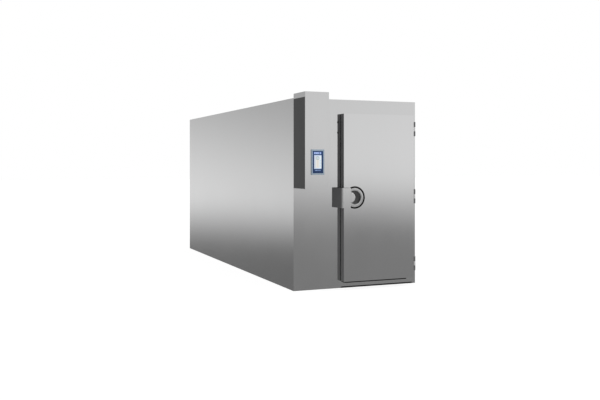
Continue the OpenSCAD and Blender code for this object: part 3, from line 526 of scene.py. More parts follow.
def make_finishes():
    """Makes every material."""
    look = bpy.context.scene.chiller_finishes
    steel, lining = tuple(look.steel), tuple(look.lining)
    dark, black = tuple(look.dark), tuple(look.black)
    rough = look.steel_roughness
    brushed("outer_steel", steel, rough, "z")
    brushed("column_steel", steel, rough, "z", coarse=span("column_cover")[1].x - 0.001)
    brushed("side_steel", steel, rough, "z")
    # the roof's steel is a darker copy of the sheets: painted shade that tones down the top's bright sky
    # reflection
    brushed("roof_steel_shaded", shade(steel, 0.86), 0.26, "y")
    brushed("door_steel", shade(steel, 1.03), rough * 0.68, "z")
    brushed("handle_steel", shade(steel, 1.03), rough * 0.9, "z", 0.03, 0.0)
    brushed("lining_steel", lining, 0.34, "z", 0.05)
    brushed("deck_steel", shade(lining, 0.9), 0.42, "y", 0.08)
    brushed("satin_steel", shade(steel, 0.86), 0.32, "z", 0.03, 0.0)
    brushed("hinge_steel", shade(steel, 0.95), 0.3, "z", 0.05, 0.0)
    brushed("cast_leaf", (0.86, 0.86, 0.86), 0.34, "z", 0.04, 0.0)
    brushed("wire_steel", (0.72, 0.72, 0.73), 0.16, "x", 0.03, 0.0)
    brushed("fin_metal", (0.74, 0.75, 0.76), 0.38, "z", 0.06, 0.0)
    brushed("bezel_steel", (0.41, 0.5, 0.59), 0.3, "x", 0.03, 0.0)
    brushed("copper_pipe", (0.72, 0.36, 0.22), 0.3, "y", 0.12, 0.0)
    brushed("zinc_plate", (0.58, 0.59, 0.6), 0.45, "x", 0.1, 0.0)
    moulded("dark_profile", shade(dark, 1.8), 0.5, gloss=0.4)
    frame_with_gap_shade("frame_profile_gap_shade", shade(dark, 1.9), shade(black, 0.5))
    moulded("dark_panel", shade(dark, 0.75), 0.5, gloss=0.25)
    moulded("rubber", black, 0.8, 600.0, gloss=0.05)
    moulded("black_plastic", shade(black, 1.3), 0.42)
    moulded("dark_paint", (0.03, 0.03, 0.032), 0.7, 700.0, gloss=0.0)
    moulded("hinge_paint", (0.135, 0.135, 0.137), 0.5, 700.0, gloss=0.3)
    moulded("bowl_plastic", shade(black, 2.2), 0.3, gloss=0.8)
    moulded("matt_black", shade(black, 0.9), 0.85, 600.0, gloss=0.0)
    # the handle cover's steel, with painted shade on its side face and bend
    shaded_bend_steel("cover_steel_painted_shade", shade(steel, 1.03), rough * 0.9, shade(dark, 1.5))
    moulded("grey_paint", (0.17, 0.175, 0.18), 0.42, 500.0)
    moulded("grey_plastic", (0.22, 0.22, 0.23), 0.45)
    moulded("white_plastic", (0.78, 0.78, 0.76), 0.4)
    moulded("fan_plastic", (0.03, 0.032, 0.035), 0.38)
    foam_finish("foam", (0.8, 0.7, 0.42))
    board_finish("board", (0.01, 0.09, 0.03))
    lamp_finish("lamp_lens")
    screen_picture("screen", tuple(look.screen_blue), look.screen_glow)


KEPT_NODES = {
    "outer_steel": ("front_skins", "column_cap"),
    "column_steel": ("column_cover",),
    "side_steel": ("left_wall_skins", "right_wall_skins", "rear_wall_skins"),
    "roof_steel_shaded": ("roof_skins",),
    "door_steel": ("door_skin",),
    "lining_steel": ("door_liner", "drip_tray", "fan_partition"),
    "deck_steel": ("floor_skins",),
    "foam": ("slab_cores", "wall_cores", "front_core", "door_core"),
    "dark_profile": ("door_edge",),
    "frame_profile_gap_shade": ("door_frame",),
    "dark_panel": ("column_side_panel",),
    "rubber": ("foot_seal",),
    "zinc_plate": ("column_chassis", "terminal_rail"),
    "grey_plastic": ("contactors",),
    "board": ("control_board",),
    "hinge_steel": ("hinge_pins", "lever_pin"),
}


def operator(idname, label, work):
    """Makes one Operator that does one piece of work, with the work's docstring as its description."""

    def execute(self, context):
        work(context)
        return {"FINISHED"}

    name = "CHILLER_OT_" + idname
    settings = {"bl_idname": "chiller." + idname, "bl_label": label, "execute": execute}
    return type(name, (bpy.types.Operator,), {"__doc__": work.__doc__, **settings})


def finish_nodes(context):
    """Materials, and the CAD nodes that keep their own shape."""
    make_finishes()
    for finish, nodes in KEPT_NODES.items():
        for node in nodes:
            mesh = frame["nodes"][node].data
            mesh.materials.clear()
            mesh.materials.append(FINISHES[finish])


# Door


def build_gasket(context):
    """The magnetic gasket: a foot, two bellows and a magnet strip, swept round three sides."""
    low, high = span("door_gasket")
    depth, inset = high.y - low.y, 0.026
    fold = [
        (0.0, 0.0), (inset, 0.0), (inset, 0.004), (0.020, 0.006), (0.022, 0.010), (0.019, 0.013),
        (0.022, 0.016), (inset - 0.002, 0.018), (inset - 0.001, depth), (0.001, depth), (0.002, 0.018),
        (0.005, 0.016), (0.008, 0.013), (0.005, 0.010), (0.007, 0.006), (0.0, 0.004),
    ]

    def make(part):
        def station(x, x_in, z, z_in):
            return [Vector((x + x_in * d, low.y + h, z + z_in * d)) for d, h in fold]

        stations = [
            station(low.x, 1, low.z, 0), station(low.x, 1, high.z, -1),
            station(high.x, -1, high.z, -1), station(high.x, -1, low.z, 0),
        ]
        face = part.faces.new([part.verts.new(p) for p in stations[0]])
        for places in stations[1:]:
            out = bmesh.ops.extrude_face_region(part, geom=[face], use_keep_orig=False)["geom"]
            face = next(g for g in out if isinstance(g, bmesh.types.BMFace))
            for vert, place in zip(face.verts, places):
                vert.co = place

    shape = Shape()
    shape.add(make)
    piece("door_bellows_gasket", shape, "door", ["rubber"], "door_gasket", smooth=50)


def build_door_trim(context):
    """The rubber sweep under the door, with its lips."""
    low, high = span("door_sweep")
    back, thick, lips, margin = at(0, LEAF_BACK, 0).y, 0.003, 4, 0.008
    shape = Shape()
    shape.block((low.x, high.x), (low.y, back), (low.z + thick, high.z), 0.0015)
    for k in range(lips):
        y = low.y + margin + k * (back - low.y - 2 * margin) / (lips - 1)
        shape.block((low.x, high.x), (y - 0.003, y + 0.003), (low.z, low.z + 0.004), 0.001)
    shape.block((low.x, high.x), (back, high.y), (low.z, low.z + thick), 0.001)
    piece("door_sweep_strip", shape, "door", ["rubber"], "door_sweep")


def build_hinges(context):
    """Frame-side brackets, door-side leaves and their screws."""
    dressed("hinge_frame_side", "hinge_brackets", "cabinet", "hinge_paint", 0.0018)
    shape = Shape()
    shape.copy("hinge_leaves", 0.0008)
    button = [(0, 0), (0.0055, 0), (0.0052, 0.0012), (0.003, 0.0022), (0, 0.0025)]
    for height in HINGE_HEIGHTS:
        for y in (-152, -132):
            for rise in (-0.014, 0.014):
                edge = at(LEAF_EDGE, y, 0)
                shape.knob(Vector((edge.x, edge.y, height + rise)), X, button, 16)
    piece("hinge_door_side", shape, "door", ["cast_leaf"], "hinge_leaves")
    low, high = span("hinge_screws")
    tall = high.x - low.x
    head = [
        (0, 0), (0.007, 0), (0.007, tall * 0.4), (0.0055, tall * 0.85), (0.0034, tall), (0.0032, tall * 0.4),
        (0, tall * 0.35),
    ]
    shape = Shape()
    for height in HINGE_HEIGHTS:
        for rise in (-0.0755, 0.0755):
            for y in (-52.5, -18.75):
                shape.knob(Vector((low.x, at(0, y, 0).y, height + rise)), X, head, 20)
    piece("hinge_screw_heads", shape, "cabinet", ["hinge_steel"], "hinge_screws")


def build_handle(context):
    """Bent cover, end caps, lever with its round nose, latch case, plunger and strike pad."""
    dressed("handle_shell", "handle_cover", "door", "cover_steel_painted_shade", 0.0009, smooth=18)
    dressed("handle_end_caps", "handle_caps", "door", "dark_paint", 0.0009)
    dressed("handle_nose_lever", "handle_lever", "lever", "handle_steel", 0.002, segments=3)
    dressed("latch_box", "latch_case", "door", "grey_paint", 0.003)
    low, high = span("push_plunger")
    radius, length = (high.x - low.x) / 2, high.y - low.y
    shape = Shape()
    shape.knob(on_axis(low, high, low.y), Y, [
        (0, 0), (radius * 0.8, 0), (radius, 0.002), (radius, length - 0.02), (radius * 0.86, length - 0.018),
        (radius * 0.86, length - 0.014), (radius, length - 0.012), (radius * 0.95, length - 0.003),
        (radius * 0.6, length), (0, length),
    ], 32)
    piece("plunger_rod", shape, "plunger", ["black_plastic"], "push_plunger")
    dressed("strike_plate", "strike_pad", "cabinet", "hinge_steel", 0.001)


def build_recess(context):
    """Escutcheon with its stepped face, the dark ring round it and the finger recess."""
    low, high = span("escutcheon_ring")
    front = at(0, LEAF_FRONT, 0).y
    centre = on_axis(low, high, front)
    outer, proud, wide = (high.x - low.x) / 2, front - low.y, 0.020
    shape = Shape()
    shape.ring(centre, -Y, [
        (outer - wide, 0.0), (outer, 0.0), (outer, proud * 0.75), (outer - 0.0015, proud),
        (outer - wide * 0.5, proud), (outer - wide + 0.0015, proud), (outer - wide, proud * 0.75),
    ], 96)
    piece("escutcheon_seal_ring", shape, "door", ["matt_black"], "escutcheon_ring")
    edge, hole = outer - wide - 0.0002, 0.0843
    shape = Shape()
    shape.ring(centre, -Y, [
        (hole, 0.0), (edge, 0.0), (edge, 0.002), (edge - 0.001, 0.003), (0.1108, 0.003), (0.1098, 0.0032),
        (0.1035, 0.0061), (0.102, 0.0064), (0.0945, 0.0064), (0.0905, 0.0059), (0.0872, 0.0049),
        (hole + 0.0009, 0.0035), (hole, 0.0018),
    ], 96)
    piece("escutcheon_plate", shape, "door", ["satin_steel"], "escutcheon", smooth=25)
    low, high = span("finger_recess")
    depth, radius, bend, wall, turns = high.y - low.y, (high.x - low.x) / 2, 0.042, 0.002, 6
    outside, inside = [(0.0, depth)], [(0.0, depth - wall)]
    for k in range(turns + 1):
        angle = pi / 2 * k / turns
        out, back = sin(angle), cos(angle)
        outside.append((radius - bend + bend * out, depth - bend + bend * back))
        inside.append((radius - bend + (bend - wall) * out, depth - bend + (bend - wall) * back))
    shape = Shape()
    mouth = [(radius - wall, 0.0), (radius, 0.0)]
    shape.knob(Vector((centre.x, low.y, centre.z)), Y, inside + mouth + outside[::-1], 96)
    piece("recess_bowl", shape, "door", ["bowl_plastic"], "finger_recess", smooth=40)


# Column


def build_display(context):
    """Display housing with dark sides and a steel bezel, and the glass with its picture."""
    low, high = span("display_housing")
    glass_low, glass_high = span("display_glass")
    bezel, edge = 0.003, 0.0012
    shape = Shape()
    shape.block((low.x, high.x), (low.y + bezel, high.y), (low.z, high.z), edge, finish=1)

    def make(part):
        edges = []
        for start, end in ((low, high), (glass_low, glass_high)):
            corners = ((start.x, start.z), (end.x, start.z), (end.x, end.z), (start.x, end.z))
            ring = [part.verts.new((x, low.y + bezel, z)) for x, z in corners]
            edges += [part.edges.new((ring[k], ring[(k + 1) % 4])) for k in range(4)]
        faces = bmesh.ops.bridge_loops(part, edges=edges)["faces"]
        out = bmesh.ops.extrude_face_region(part, geom=faces, use_keep_orig=True)["geom"]
        bmesh.ops.translate(part, verts=only_verts(out), vec=-Y * bezel)

    shape.add(make, edge)
    piece(
        "display_bezel", shape, "cabinet", ["bezel_steel", "matt_black"], "display_housing"
    )
    shape = Shape()
    front, back = low.y + 0.001, low.y + bezel
    shape.block((glass_low.x, glass_high.x), (front, back), (glass_low.z, glass_high.z), 0.0008)
    piece("display_pane", shape, "cabinet", ["screen"], "display_glass")


def build_gland(context):
    """Mains cable gland: hex body, domed nut with ribs and an open throat."""
    low, high = span("cable_gland")
    middle, tall = (low + high) / 2, high.z - low.z
    base = Vector((middle.x, middle.y, low.z))
    shape = Shape()
    shape.ring(base, Z, [
        (0.008, 0), (0.0118, 0), (0.0118, tall * 0.75), (0.0105, tall * 0.92), (0.009, tall), (0.008, tall),
    ], 36)
    half_rib = Z * tall * 0.12
    for angle in range(0, 360, 30):
        turn = Matrix.Rotation(radians(angle), 3, "Z")
        spot = base + turn @ Vector((0.0115, 0, tall * 0.62))
        shape.bar(spot - half_rib, spot + half_rib, 0.0008, 8)

    def make(part):
        hex_radius = 0.0138
        bmesh.ops.create_cone(
            part, cap_ends=True, segments=6, radius1=hex_radius, radius2=hex_radius, depth=tall * 0.42,
            matrix=Matrix.Translation(base + Z * tall * 0.21),
        )
        ends = [f for f in part.faces if abs(f.normal.z) > 0.9]
        bmesh.ops.inset_individual(part, faces=ends, thickness=0.0022)
        throat = [f for f in part.faces if abs(f.normal.z) > 0.9 and f.calc_area() > 0.0003]
        bmesh.ops.delete(part, geom=throat, context="FACES_ONLY")

    shape.add(make, 0.0006)
    piece("mains_gland_nut", shape, "cabinet", ["black_plastic"], "cable_gland")


# Doorway


def build_sill(context):
    """Tread plate with ribs and a folded nose, and the domed plugs on the frame."""
    low, high = span("sill_plate")
    top, nose_back = high.z, at(0, WALL_FRONT, 0).y
    nose_top = top - 0.003
    shape = Shape()
    shape.block((low.x, high.x), (low.y, high.y), (nose_top, top - 0.0008), 0.0008)
    shape.block((low.x, high.x), (low.y, nose_back), (low.z, nose_top), 0.0015)
    ribs = context.scene.chiller_details.tread_ribs
    for k in range(ribs):
        y = low.y + (high.y - low.y) * (k + 0.7) / (ribs + 0.4)
        shape.block((low.x + 0.02, high.x - 0.02), (y - 0.003, y + 0.003), (top - 0.001, top), 0.0004, 1)
    piece("sill_tread", shape, "cabinet", ["deck_steel"], "sill_plate")
    low, high = span("frame_plugs")
    radius, proud = 0.015, high.x - low.x
    dome = [(0, 0), (radius, 0), (radius * 0.96, proud * 0.5), (radius * 0.7, proud * 0.9), (0, proud)]
    shape = Shape()
    for z in (low.z + radius, high.z - radius):
        shape.knob(Vector((high.x, (low.y + high.y) / 2, z)), -X, dome, 28)
    piece("frame_plug_caps", shape, "cabinet", ["rubber"], "frame_plugs")


# Inside


def bend_blade(part, half, place):
    """A swept, pitched and cambered fan blade, bent out of a grid and put in its place."""
    hub, reach = 0.066, 0.232
    for vert in bmesh.ops.create_grid(part, x_segments=10, y_segments=6, size=0.5)["verts"]:
        along, across = vert.co.x + 0.5, vert.co.y
        radius = hub + along * reach
        chord = (0.10 + 0.035 * along) * across
        pitch = radians(30 - 13 * along)
        camber = 0.012 * (1 - (2 * across) ** 2)
        sweep = 0.25 * along ** 2
        side = chord * cos(pitch) / radius + sweep * 0.6
        depth = chord * sin(pitch) - camber
        depth = max(-half + 0.003, min(half - 0.003, depth))
        vert.co = Vector((depth, radius * sin(side), radius * cos(side)))
    bmesh.ops.transform(part, verts=part.verts, matrix=place)
    bmesh.ops.solidify(part, geom=part.faces[:] + part.verts[:] + part.edges[:], thickness=0.003)


def build_impellers(context):
    """Fan impellers: hub with a domed nose and five swept, pitched blades."""
    blades = 5
    for number in FANS:
        node = f"impeller_{number}"
        low, high = span(node)
        centre, half = fan_centre(number), (high.x - low.x) / 2
        shape = Shape()
        shape.knob(centre, X, [
            (0.0105, -half), (0.066, -half), (0.07, -half + 0.004), (0.07, half - 0.014),
            (0.064, half - 0.005), (0.045, half - 0.001), (0.0, half), (0.0, half - 0.004),
            (0.0105, half - 0.004),
        ], 48)
        for blade in range(blades):
            place = Matrix.Translation(centre) @ Matrix.Rotation(2 * pi * blade / blades, 4, "X")
            shape.add(lambda part: bend_blade(part, half, place))
        name, body = f"fan_impeller_{number}", f"fan_{number}"
        piece(name, shape, body, ["fan_plastic"], node, smooth=40)


def build_motors(context):
    """Fan motors with cooling ribs and end shields, on crossed bracket arms."""
    low, high = span("fan_motors")
    length, ribs, feet, arm, foot_at = 0.113, 24, 4, 0.308, 0.323
    casing = [
        (0, 0), (0.06, 0), (0.072, 0.006), (0.076, 0.014), (0.076, 0.099), (0.072, 0.107), (0.05, length),
        (0.02, 0.1135), (0.0, 0.1135),
    ]
    bolt = [(0, 0), (0.012, 0), (0.012, 0.004), (0.009, 0.006), (0, 0.006)]
    shape = Shape()
    for number in FANS:
        centre = fan_centre(number)
        tail = Vector((low.x, centre.y, centre.z))
        middle = Vector((low.x + length / 2, centre.y, centre.z))
        shape.knob(tail, X, casing, 40)
        for k in range(ribs):
            turn = Matrix.Rotation(2 * pi * k / ribs, 4, "X")
            rib, half = middle + turn.to_3x3() @ Vector((0, 0, 0.08)), Vector((0.04, 0.0012, 0.005))
            shape.box(rib - half, rib + half, turn=turn)
        shape.bar(tail + X * 0.11, tail + X * 0.1675, 0.0098, 20, 0.001, 1)
        for side in (Y, Z):
            half = Vector((0.003, 0.015, 0.015)) + side * arm
            shape.box(middle - half, middle + half, 0.0015, finish=1)
        for k in range(feet):
            foot = middle + Matrix.Rotation(2 * pi * k / feet, 3, "X") @ Vector((0, foot_at, 0))
            shape.bar(foot, Vector((high.x, foot.y, foot.z)), 0.0095, 20, 0.0008, 1)
            shape.knob(foot - X * 0.003, -X, bolt, 6, 1)
    piece("fan_motor_set", shape, "cabinet", ["grey_paint", "zinc_plate"], "fan_motors")


def build_guards(context):
    """Fan guards of round wire: rings, ribs, a rim and a middle plate."""
    low, _ = span("fan_guards")
    rings, ribs = context.scene.chiller_details.guard_wires, 8
    rim, wire = 0.308, 0.0022
    band = [(rim, 0), (rim + 0.005, 0), (rim + 0.005, 0.009), (rim, 0.009)]
    plate = [(0, 0), (0.04, 0), (0.04, 0.004), (0.034, 0.0075), (0, 0.0085)]
    shape = Shape()
    for number in FANS:
        centre = fan_centre(number)
        face = Vector((low.x + 0.0075, centre.y, centre.z))
        shape.ring(Vector((low.x, centre.y, centre.z)), X, band, 72)
        for k in range(1, rings + 1):
            shape.wire_ring(face, X, rim * k / (rings + 1), wire, 60, 6)
        behind = face - X * 0.003
        for k in range(ribs):
            way = Matrix.Rotation(2 * pi * k / ribs, 3, "X") @ Z
            shape.bar(behind + way * 0.02, behind + way * (rim + 0.001), wire, 8)
        shape.knob(face - X * 0.0055, X, plate, 36)
    piece("fan_wire_guards", shape, "cabinet", ["wire_steel"], "fan_guards")


def bend_tube(part, middle, reach, way):
    """A half ring of tube in the YZ plane, flattened so that it stays in its bay."""
    flat = 0.14
    verts = bmesh.ops.create_circle(part, cap_ends=False, segments=8, radius=COIL_TUBE)["verts"]
    turn = Matrix.Rotation(pi / 2, 4, "X")
    bmesh.ops.transform(part, verts=verts, matrix=Matrix.Translation(middle + Z * reach) @ turn)
    mouth = part.verts[:] + part.edges[:]
    bmesh.ops.spin(
        part, geom=mouth, cent=middle, axis=X, dvec=(0, 0, 0), angle=way * -pi, steps=8
    )
    for vert in part.verts:
        vert.co.y = middle.y + (vert.co.y - middle.y) * flat


def build_coils(context):
    """Finned coils: thin fins on copper tubes with bends at both ends, between end plates."""
    low, high = span("evaporator_coils")
    pitch = context.scene.chiller_details.fin_pitch
    left, right = at(COIL_LEFT, 0, 0).x, at(COIL_RIGHT, 0, 0).x
    bottom, top = at(0, 0, COIL_BOTTOM).z, at(0, 0, COIL_TOP).z
    length, past, thick, columns, rows = 1.54, 0.02, 0.003, 3, 14
    shape = Shape()
    for bay in BAYS:
        start = at(0, COIL_START + BAY_STEP * bay, 0).y
        ends = (start - past, start + length + past)

        def fins(part):
            fin = bmesh.ops.create_cube(part, size=1.0)["verts"]
            bmesh.ops.scale(part, verts=fin, vec=(right - left, 0.0007, top - bottom))
            spot = ((left + right) / 2, start + pitch / 2, (bottom + top) / 2)
            bmesh.ops.translate(part, verts=fin, vec=spot)
            first = part.faces[:] + part.edges[:] + part.verts[:]
            for k in range(1, int(length / pitch)):
                made = bmesh.ops.duplicate(part, geom=first)["geom"]
                bmesh.ops.translate(part, verts=only_verts(made), vec=Y * pitch * k)

        shape.add(fins)
        for plate in (start - thick, start + length):
            shape.block((low.x, high.x), (plate, plate + thick), (low.z, high.z), 0.001, finish=2)
            for z in (low.z, high.z - thick):
                shape.block((low.x, high.x), (plate - 0.009, plate + 0.012), (z, z + thick), finish=2)
        for column in range(columns):
            x = left + (right - left) * (column + 0.5) / columns
            for row in range(rows):
                z = bottom + (top - bottom) * (row + 0.5) / rows
                shape.bar(Vector((x, ends[0], z)), Vector((x, ends[1], z)), COIL_TUBE, 10, finish=1)
            for row in range(0, rows, 2):
                z = bottom + (top - bottom) * (row + 1) / rows
                for end, way in zip(ends, (-1, 1)):
                    middle, reach = Vector((x, end, z)), (top - bottom) / rows / 2
                    shape.add(lambda part: bend_tube(part, middle, reach, way), finish=1)
    finishes = ["fin_metal", "copper_pipe", "zinc_plate"]
    piece("finned_coils", shape, "cabinet", finishes, "evaporator_coils")


def build_pipes(context):
    """Copper headers with elbows and sleeves, wall stubs with rolled ends, and the drain."""
    height, coil_top = at(0, 0, HEADER_HEIGHT).z, at(0, 0, COIL_TOP).z
    wall, back = at(0, WALL_BACK, 0).y, span("coil_headers")[1].y
    middles = [at(0, COIL_MIDDLE + BAY_STEP * bay, 0).y for bay in BAYS]
    shape = Shape()
    for across, radius in PIPES:
        x, start = at(across, 0, 0).x, middles[0]
        elbow, collar = Vector((x, start + radius, height)), radius + 0.0015
        shape.bar(elbow, Vector((x, back, height)), radius, 28)
        shape.bar(Vector((x, start, height)), elbow, radius, 28, radius * 0.4)
        for y in middles:
            shape.bar(Vector((x, y, coil_top)), Vector((x, y, height)), radius * 0.8, 24)
            shape.ring(Vector((x, y, height - radius)), -Z, [
                (radius * 0.8, 0), (radius, 0), (radius, 0.008), (radius * 0.8, 0.012),
            ], 24)
        for joint in (1500, 3100, 4700):
            shape.ring(Vector((x, at(0, joint, 0).y, height)), Y, [
                (radius, 0), (collar, 0.001), (collar, 0.029), (radius, 0.03),
            ], 28)
    piece("copper_headers", shape, "cabinet", ["copper_pipe"], "coil_headers")
    shape = Shape()
    long = span("pipe_stubs")[1].y - wall
    for across, radius in PIPES:
        bore = radius - 0.0015
        shape.ring(Vector((at(across, 0, 0).x, wall, height)), Y, [
            (bore, 0), (radius + 0.01, 0), (radius + 0.01, 0.0026), (radius + 0.0085, 0.004), (radius, 0.004),
            (radius, long - 0.0008), (radius - 0.0006, long), (bore + 0.0004, long), (bore, long - 0.0006),
        ], 40)
    piece("copper_wall_stubs", shape, "cabinet", ["copper_pipe"], "pipe_stubs")
    low, high = span("drain_pipe")
    flange, long, barbs = wall - low.y, high.y - low.y, 5
    profile = [
        (0.014, 0), (0.016, 0), (0.016, flange), (0.026, flange), (0.026, flange + 0.0028),
        (0.0245, flange + 0.004), (0.016, flange + 0.004),
    ]
    for k in range(barbs):
        barb = flange + 0.03 + k * 0.009
        profile += [(0.016, barb), (0.0148, barb + 0.001), (0.016, barb + 0.008)]
    shape = Shape()
    shape.ring(on_axis(low, high, low.y), Y, profile + [(0.0155, long), (0.014, long)], 36)
    piece("drain_hose_tail", shape, "cabinet", ["grey_plastic"], "drain_pipe")


def build_lane(context):
    """Guide rails with flanged posts and domed ends, and the ceiling lamps."""
    first, last = at(0, 250, 0).y, at(0, 4810, 0).y
    tube, gaps = 0.016, 6
    step = (last - first - 2 * tube) / gaps
    dome = [(0, 0), (tube, 0), (0.012, 0.004), (0, 0.005)]
    flange = [(0, 0), (0.024, 0), (0.024, 0.002), (0.011, 0.004), (0, 0.004)]
    shape = Shape()
    for wall, side in ((at(560, 0, 0).x, 1), (at(1605, 0, 0).x, -1)):
        for height in (0.3, 1.65):
            x = wall + side * 0.04
            shape.bar(Vector((x, first + 0.004, height)), Vector((x, last - 0.004, height)), tube, 28, 0.002)
            for end, way in ((first + 0.005, -Y), (last - 0.005, Y)):
                shape.knob(Vector((x, end, height)), way, dome, 28)
            for k in range(gaps + 1):
                foot = Vector((wall, first + tube + step * k, height))
                shape.bar(foot, foot + X * side * 0.026, 0.008, 20)
                shape.knob(foot, X * side, flange, 28)
    piece("trolley_guide_tubes", shape, "cabinet", ["wire_steel"], "guide_rails")
    low, high = span("ceiling_lamps")
    half, inset, clip_half = 0.3, 0.005, Vector((0.0, 0.012, 0.012))
    shape = Shape()
    for k in BAYS:
        y = at(0, LANE_FRONT + (LANE_BACK - LANE_FRONT) * (k + 0.5) / len(BAYS), 0).y
        shape.block((low.x, high.x), (y - half, y + half), (low.z + 0.025, high.z), 0.006, 3)
        lens_x, lens_y = (low.x + inset, high.x - inset), (y - half + inset, y + half - inset)
        shape.block(lens_x, lens_y, (low.z, low.z + 0.03), 0.018, 4, 1)
        for end in (-0.2, 0.2):
            for x, left, right in ((low.x, 0.001, 0.002), (high.x, 0.002, 0.001)):
                clip = Vector((x, y + end, low.z + 0.028))
                shape.box(clip - clip_half - X * left, clip + clip_half + X * right, 0.0008, finish=2)
    finishes = ["white_plastic", "lamp_lens", "zinc_plate"]
    piece("ceiling_lamp_set", shape, "cabinet", finishes, "ceiling_lamps")


def build_rear(context):
    """Relief valve: two louvred covers with screws on a tube through the rear wall."""
    low, high = span("relief_valve")
    start, long = on_axis(low, high, low.y), high.y - low.y
    inner, outer = (at(0, y, 0).y - low.y for y in (LANE_BACK, WALL_BACK))
    louvres, throat = 5, 0.0375
    screw = [(0, 0), (0.004, 0), (0.003, 0.0012), (0, 0.0012)]
    shape = Shape()
    shape.ring(start, Y, [
        (0.037, 0), (0.058, 0), (0.062, 0.003), (0.062, inner), (0.04, inner), (0.04, outer), (0.062, outer),
        (0.062, outer + 0.003), (0.058, long), (0.037, long),
    ], 56)
    for k in range(louvres):
        z = start.z - 0.028 + k * 0.014
        half = Vector((sqrt(throat ** 2 - (z - start.z) ** 2), 0.0012, 0.008))
        for y, tilt in ((low.y + 0.008, -38), (high.y - 0.008, 38)):
            middle = Vector((start.x, y, z))
            shape.box(middle - half, middle + half, turn=Matrix.Rotation(radians(tilt), 4, "X"))
    for angle in range(45, 360, 90):
        spoke = Matrix.Rotation(radians(angle), 3, "Y") @ Vector((0.05, 0, 0))
        for y, way in ((low.y, Y), (high.y, -Y)):
            shape.knob(on_axis(low, high, y) + spoke + way * 0.0012, -way, screw, 16, 1)
    piece(
        "relief_valve_covers", shape, "cabinet", ["grey_paint", "hinge_steel"], "relief_valve"
    )


# Stage


UNMIRRORED = (
    "door_frame", "door_skin", "door_edge", "door_core", "door_liner", "lever_pin", "hinge_pins",
    "door_bellows_gasket", "door_sweep_strip", "hinge_frame_side", "hinge_door_side", "hinge_screw_heads",
    "handle_shell", "handle_end_caps", "handle_nose_lever", "latch_box", "plunger_rod", "strike_plate",
    "escutcheon_seal_ring", "escutcheon_plate", "recess_bowl", "display_bezel", "display_pane",
    "frame_plug_caps", "sill_tread", "foot_seal",
)


def quiet_mirrors(context):
    """Keeps the doorway with its fittings, the foot strip and the display out of mirror images."""
    for name in UNMIRRORED:
        obj = frame["nodes"].get(name) or bpy.data.objects[name]
        obj.visible_glossy = False


def add_camera(scene, stage):
    """The camera that looks at the chiller's front and left side."""
    camera = bpy.data.objects.new("camera", bpy.data.cameras.new("camera"))
    camera.data.lens, camera.data.sensor_width = stage.lens, 36.0
    camera.data.shift_y, camera.data.clip_end = stage.shift, 200.0
    camera.location = stage.camera_place
    camera.rotation_euler = (pi / 2, 0, -stage.turn)
    scene.collection.objects.link(camera)
    scene.camera = camera
    scene.view_settings.view_transform = "Standard"


def add_floor(scene):
    """A wide pale floor, half a millimetre under the chiller."""
    part = bmesh.new()
    bmesh.ops.create_grid(part, x_segments=1, y_segments=1, size=60.0)
    mesh = bpy.data.meshes.new("floor")
    part.to_mesh(mesh)
    part.free()
    floor = bpy.data.objects.new("floor", mesh)
    floor.location = (0, 0, -0.0005)
    scene.collection.objects.link(floor)
    f = Finish("floor_paint")
    f.done(
        Base_Color=f.mix(f.noise((0.7, 0.7, 0.7), 3), (0.25, 0.25, 0.25), (0.27, 0.27, 0.27)), Roughness=0.9,
        Emission_Color=(1.0, 1.0, 1.0, 1.0), Emission_Strength=0.88, Specular_IOR_Level=0.0,
    )
    mesh.materials.append(FINISHES["floor_paint"])
    floor.visible_glossy = False


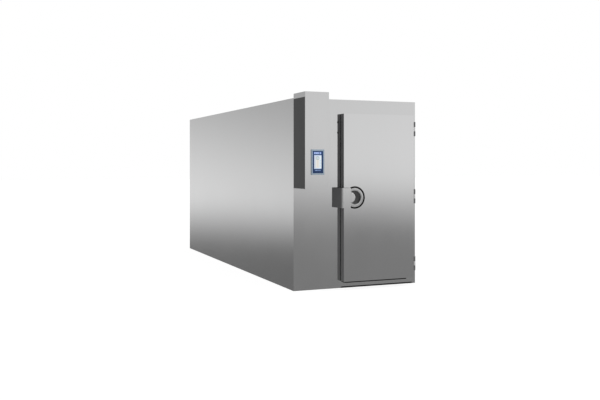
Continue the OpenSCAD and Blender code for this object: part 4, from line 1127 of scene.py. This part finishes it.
def add_studio(scene):
    """The world: soft studio light on the steel, and plain white to the camera."""
    world = bpy.data.worlds.new("studio")
    world.use_nodes = True
    scene.world = world
    w = Nodes(world.node_tree)
    x, y, z = w.split(w.node("ShaderNodeTexCoord", None, None, "Generated"))
    behind = w.passing(y, -0.2, 0.2, "LINEAR")
    lean = w.mix(behind, (x - 0.42) * 0.05, (x + 0.32) * -0.07)
    height = z + w.limit(lean, -0.006, 0.006)

    def studio(light):
        heights = [[sin(radians(angle)) for angle in light[key]] for key in ("rise", "fall")]
        rise, fall = [w.passing(height, start, end) for start, end in heights]
        upper = light["ceiling"] - light["wall"]
        return light["floor"] + rise * (light["wall"] - light["floor"]) + fall * upper

    front = studio(FRONT_LIGHT) * w.limit(0.78 + x * 0.45, 0.75, 1.2)
    side = studio(SIDE_LIGHT) * w.limit(1.13 + x * 0.4, 0.8, 1.3)
    below = w.passing(z, -0.19, -0.34)
    light = w.mix(below, w.mix(behind, front, side), (0.62, 0.62, 0.62))
    seen = w.node("ShaderNodeLightPath", None, None, "Is Camera Ray")
    sky = w.node("ShaderNodeBackground", None, {0: w.mix(seen, light, (1.0, 1.0, 1.0)), 1: 1.0})
    w.node("ShaderNodeOutputWorld", None, {0: sky})


def build_stage(context):
    """Camera, pale floor and the studio's soft light."""
    add_camera(context.scene, context.scene.chiller_stage)
    add_floor(context.scene)
    add_studio(context.scene)


STEPS = [
    ("finishes", "Finishes", finish_nodes),
    ("stage", "Stage", build_stage),
    ("gasket", "Door gasket", build_gasket),
    ("door_trim", "Door sweep", build_door_trim),
    ("hinges", "Hinges", build_hinges),
    ("handle", "Handle", build_handle),
    ("recess", "Finger recess", build_recess),
    ("display", "Display", build_display),
    ("gland", "Cable gland", build_gland),
    ("sill", "Sill", build_sill),
    ("impellers", "Impellers", build_impellers),
    ("motors", "Motors", build_motors),
    ("guards", "Guards", build_guards),
    ("coils", "Coils", build_coils),
    ("pipes", "Pipes", build_pipes),
    ("lane", "Lane", build_lane),
    ("rear", "Relief valve", build_rear),
    ("mirrors", "Quiet mirrors", quiet_mirrors),
]
OPERATORS = [operator(*step) for step in STEPS]


class CHILLER_PT_looks(bpy.types.Panel):
    """Lists the steps that dress the chiller."""

    bl_label = "Blast chiller"
    bl_idname = "CHILLER_PT_looks"
    bl_space_type = "VIEW_3D"
    bl_region_type = "UI"
    bl_category = "Chiller"

    def draw(self, context):
        for idname, label, _ in STEPS:
            self.layout.operator("chiller." + idname, text=label)


GROUPS = {
    "chiller_finishes": ChillerFinishes,
    "chiller_details": ChillerDetails,
    "chiller_stage": ChillerStage,
}


def register():
    for cls in (*GROUPS.values(), *OPERATORS, CHILLER_PT_looks):
        bpy.utils.register_class(cls)
    for name, cls in GROUPS.items():
        setattr(bpy.types.Scene, name, PointerProperty(type=cls))


def unregister():
    for name in GROUPS:
        delattr(bpy.types.Scene, name)
    for cls in (CHILLER_PT_looks, *reversed(OPERATORS), *reversed(GROUPS.values())):
        bpy.utils.unregister_class(cls)


def main():
    register()
    for idname, _, _ in STEPS:
        getattr(bpy.ops.chiller, idname)()
    bpy.context.view_layer.update()


if __name__ == "__main__":
    main()
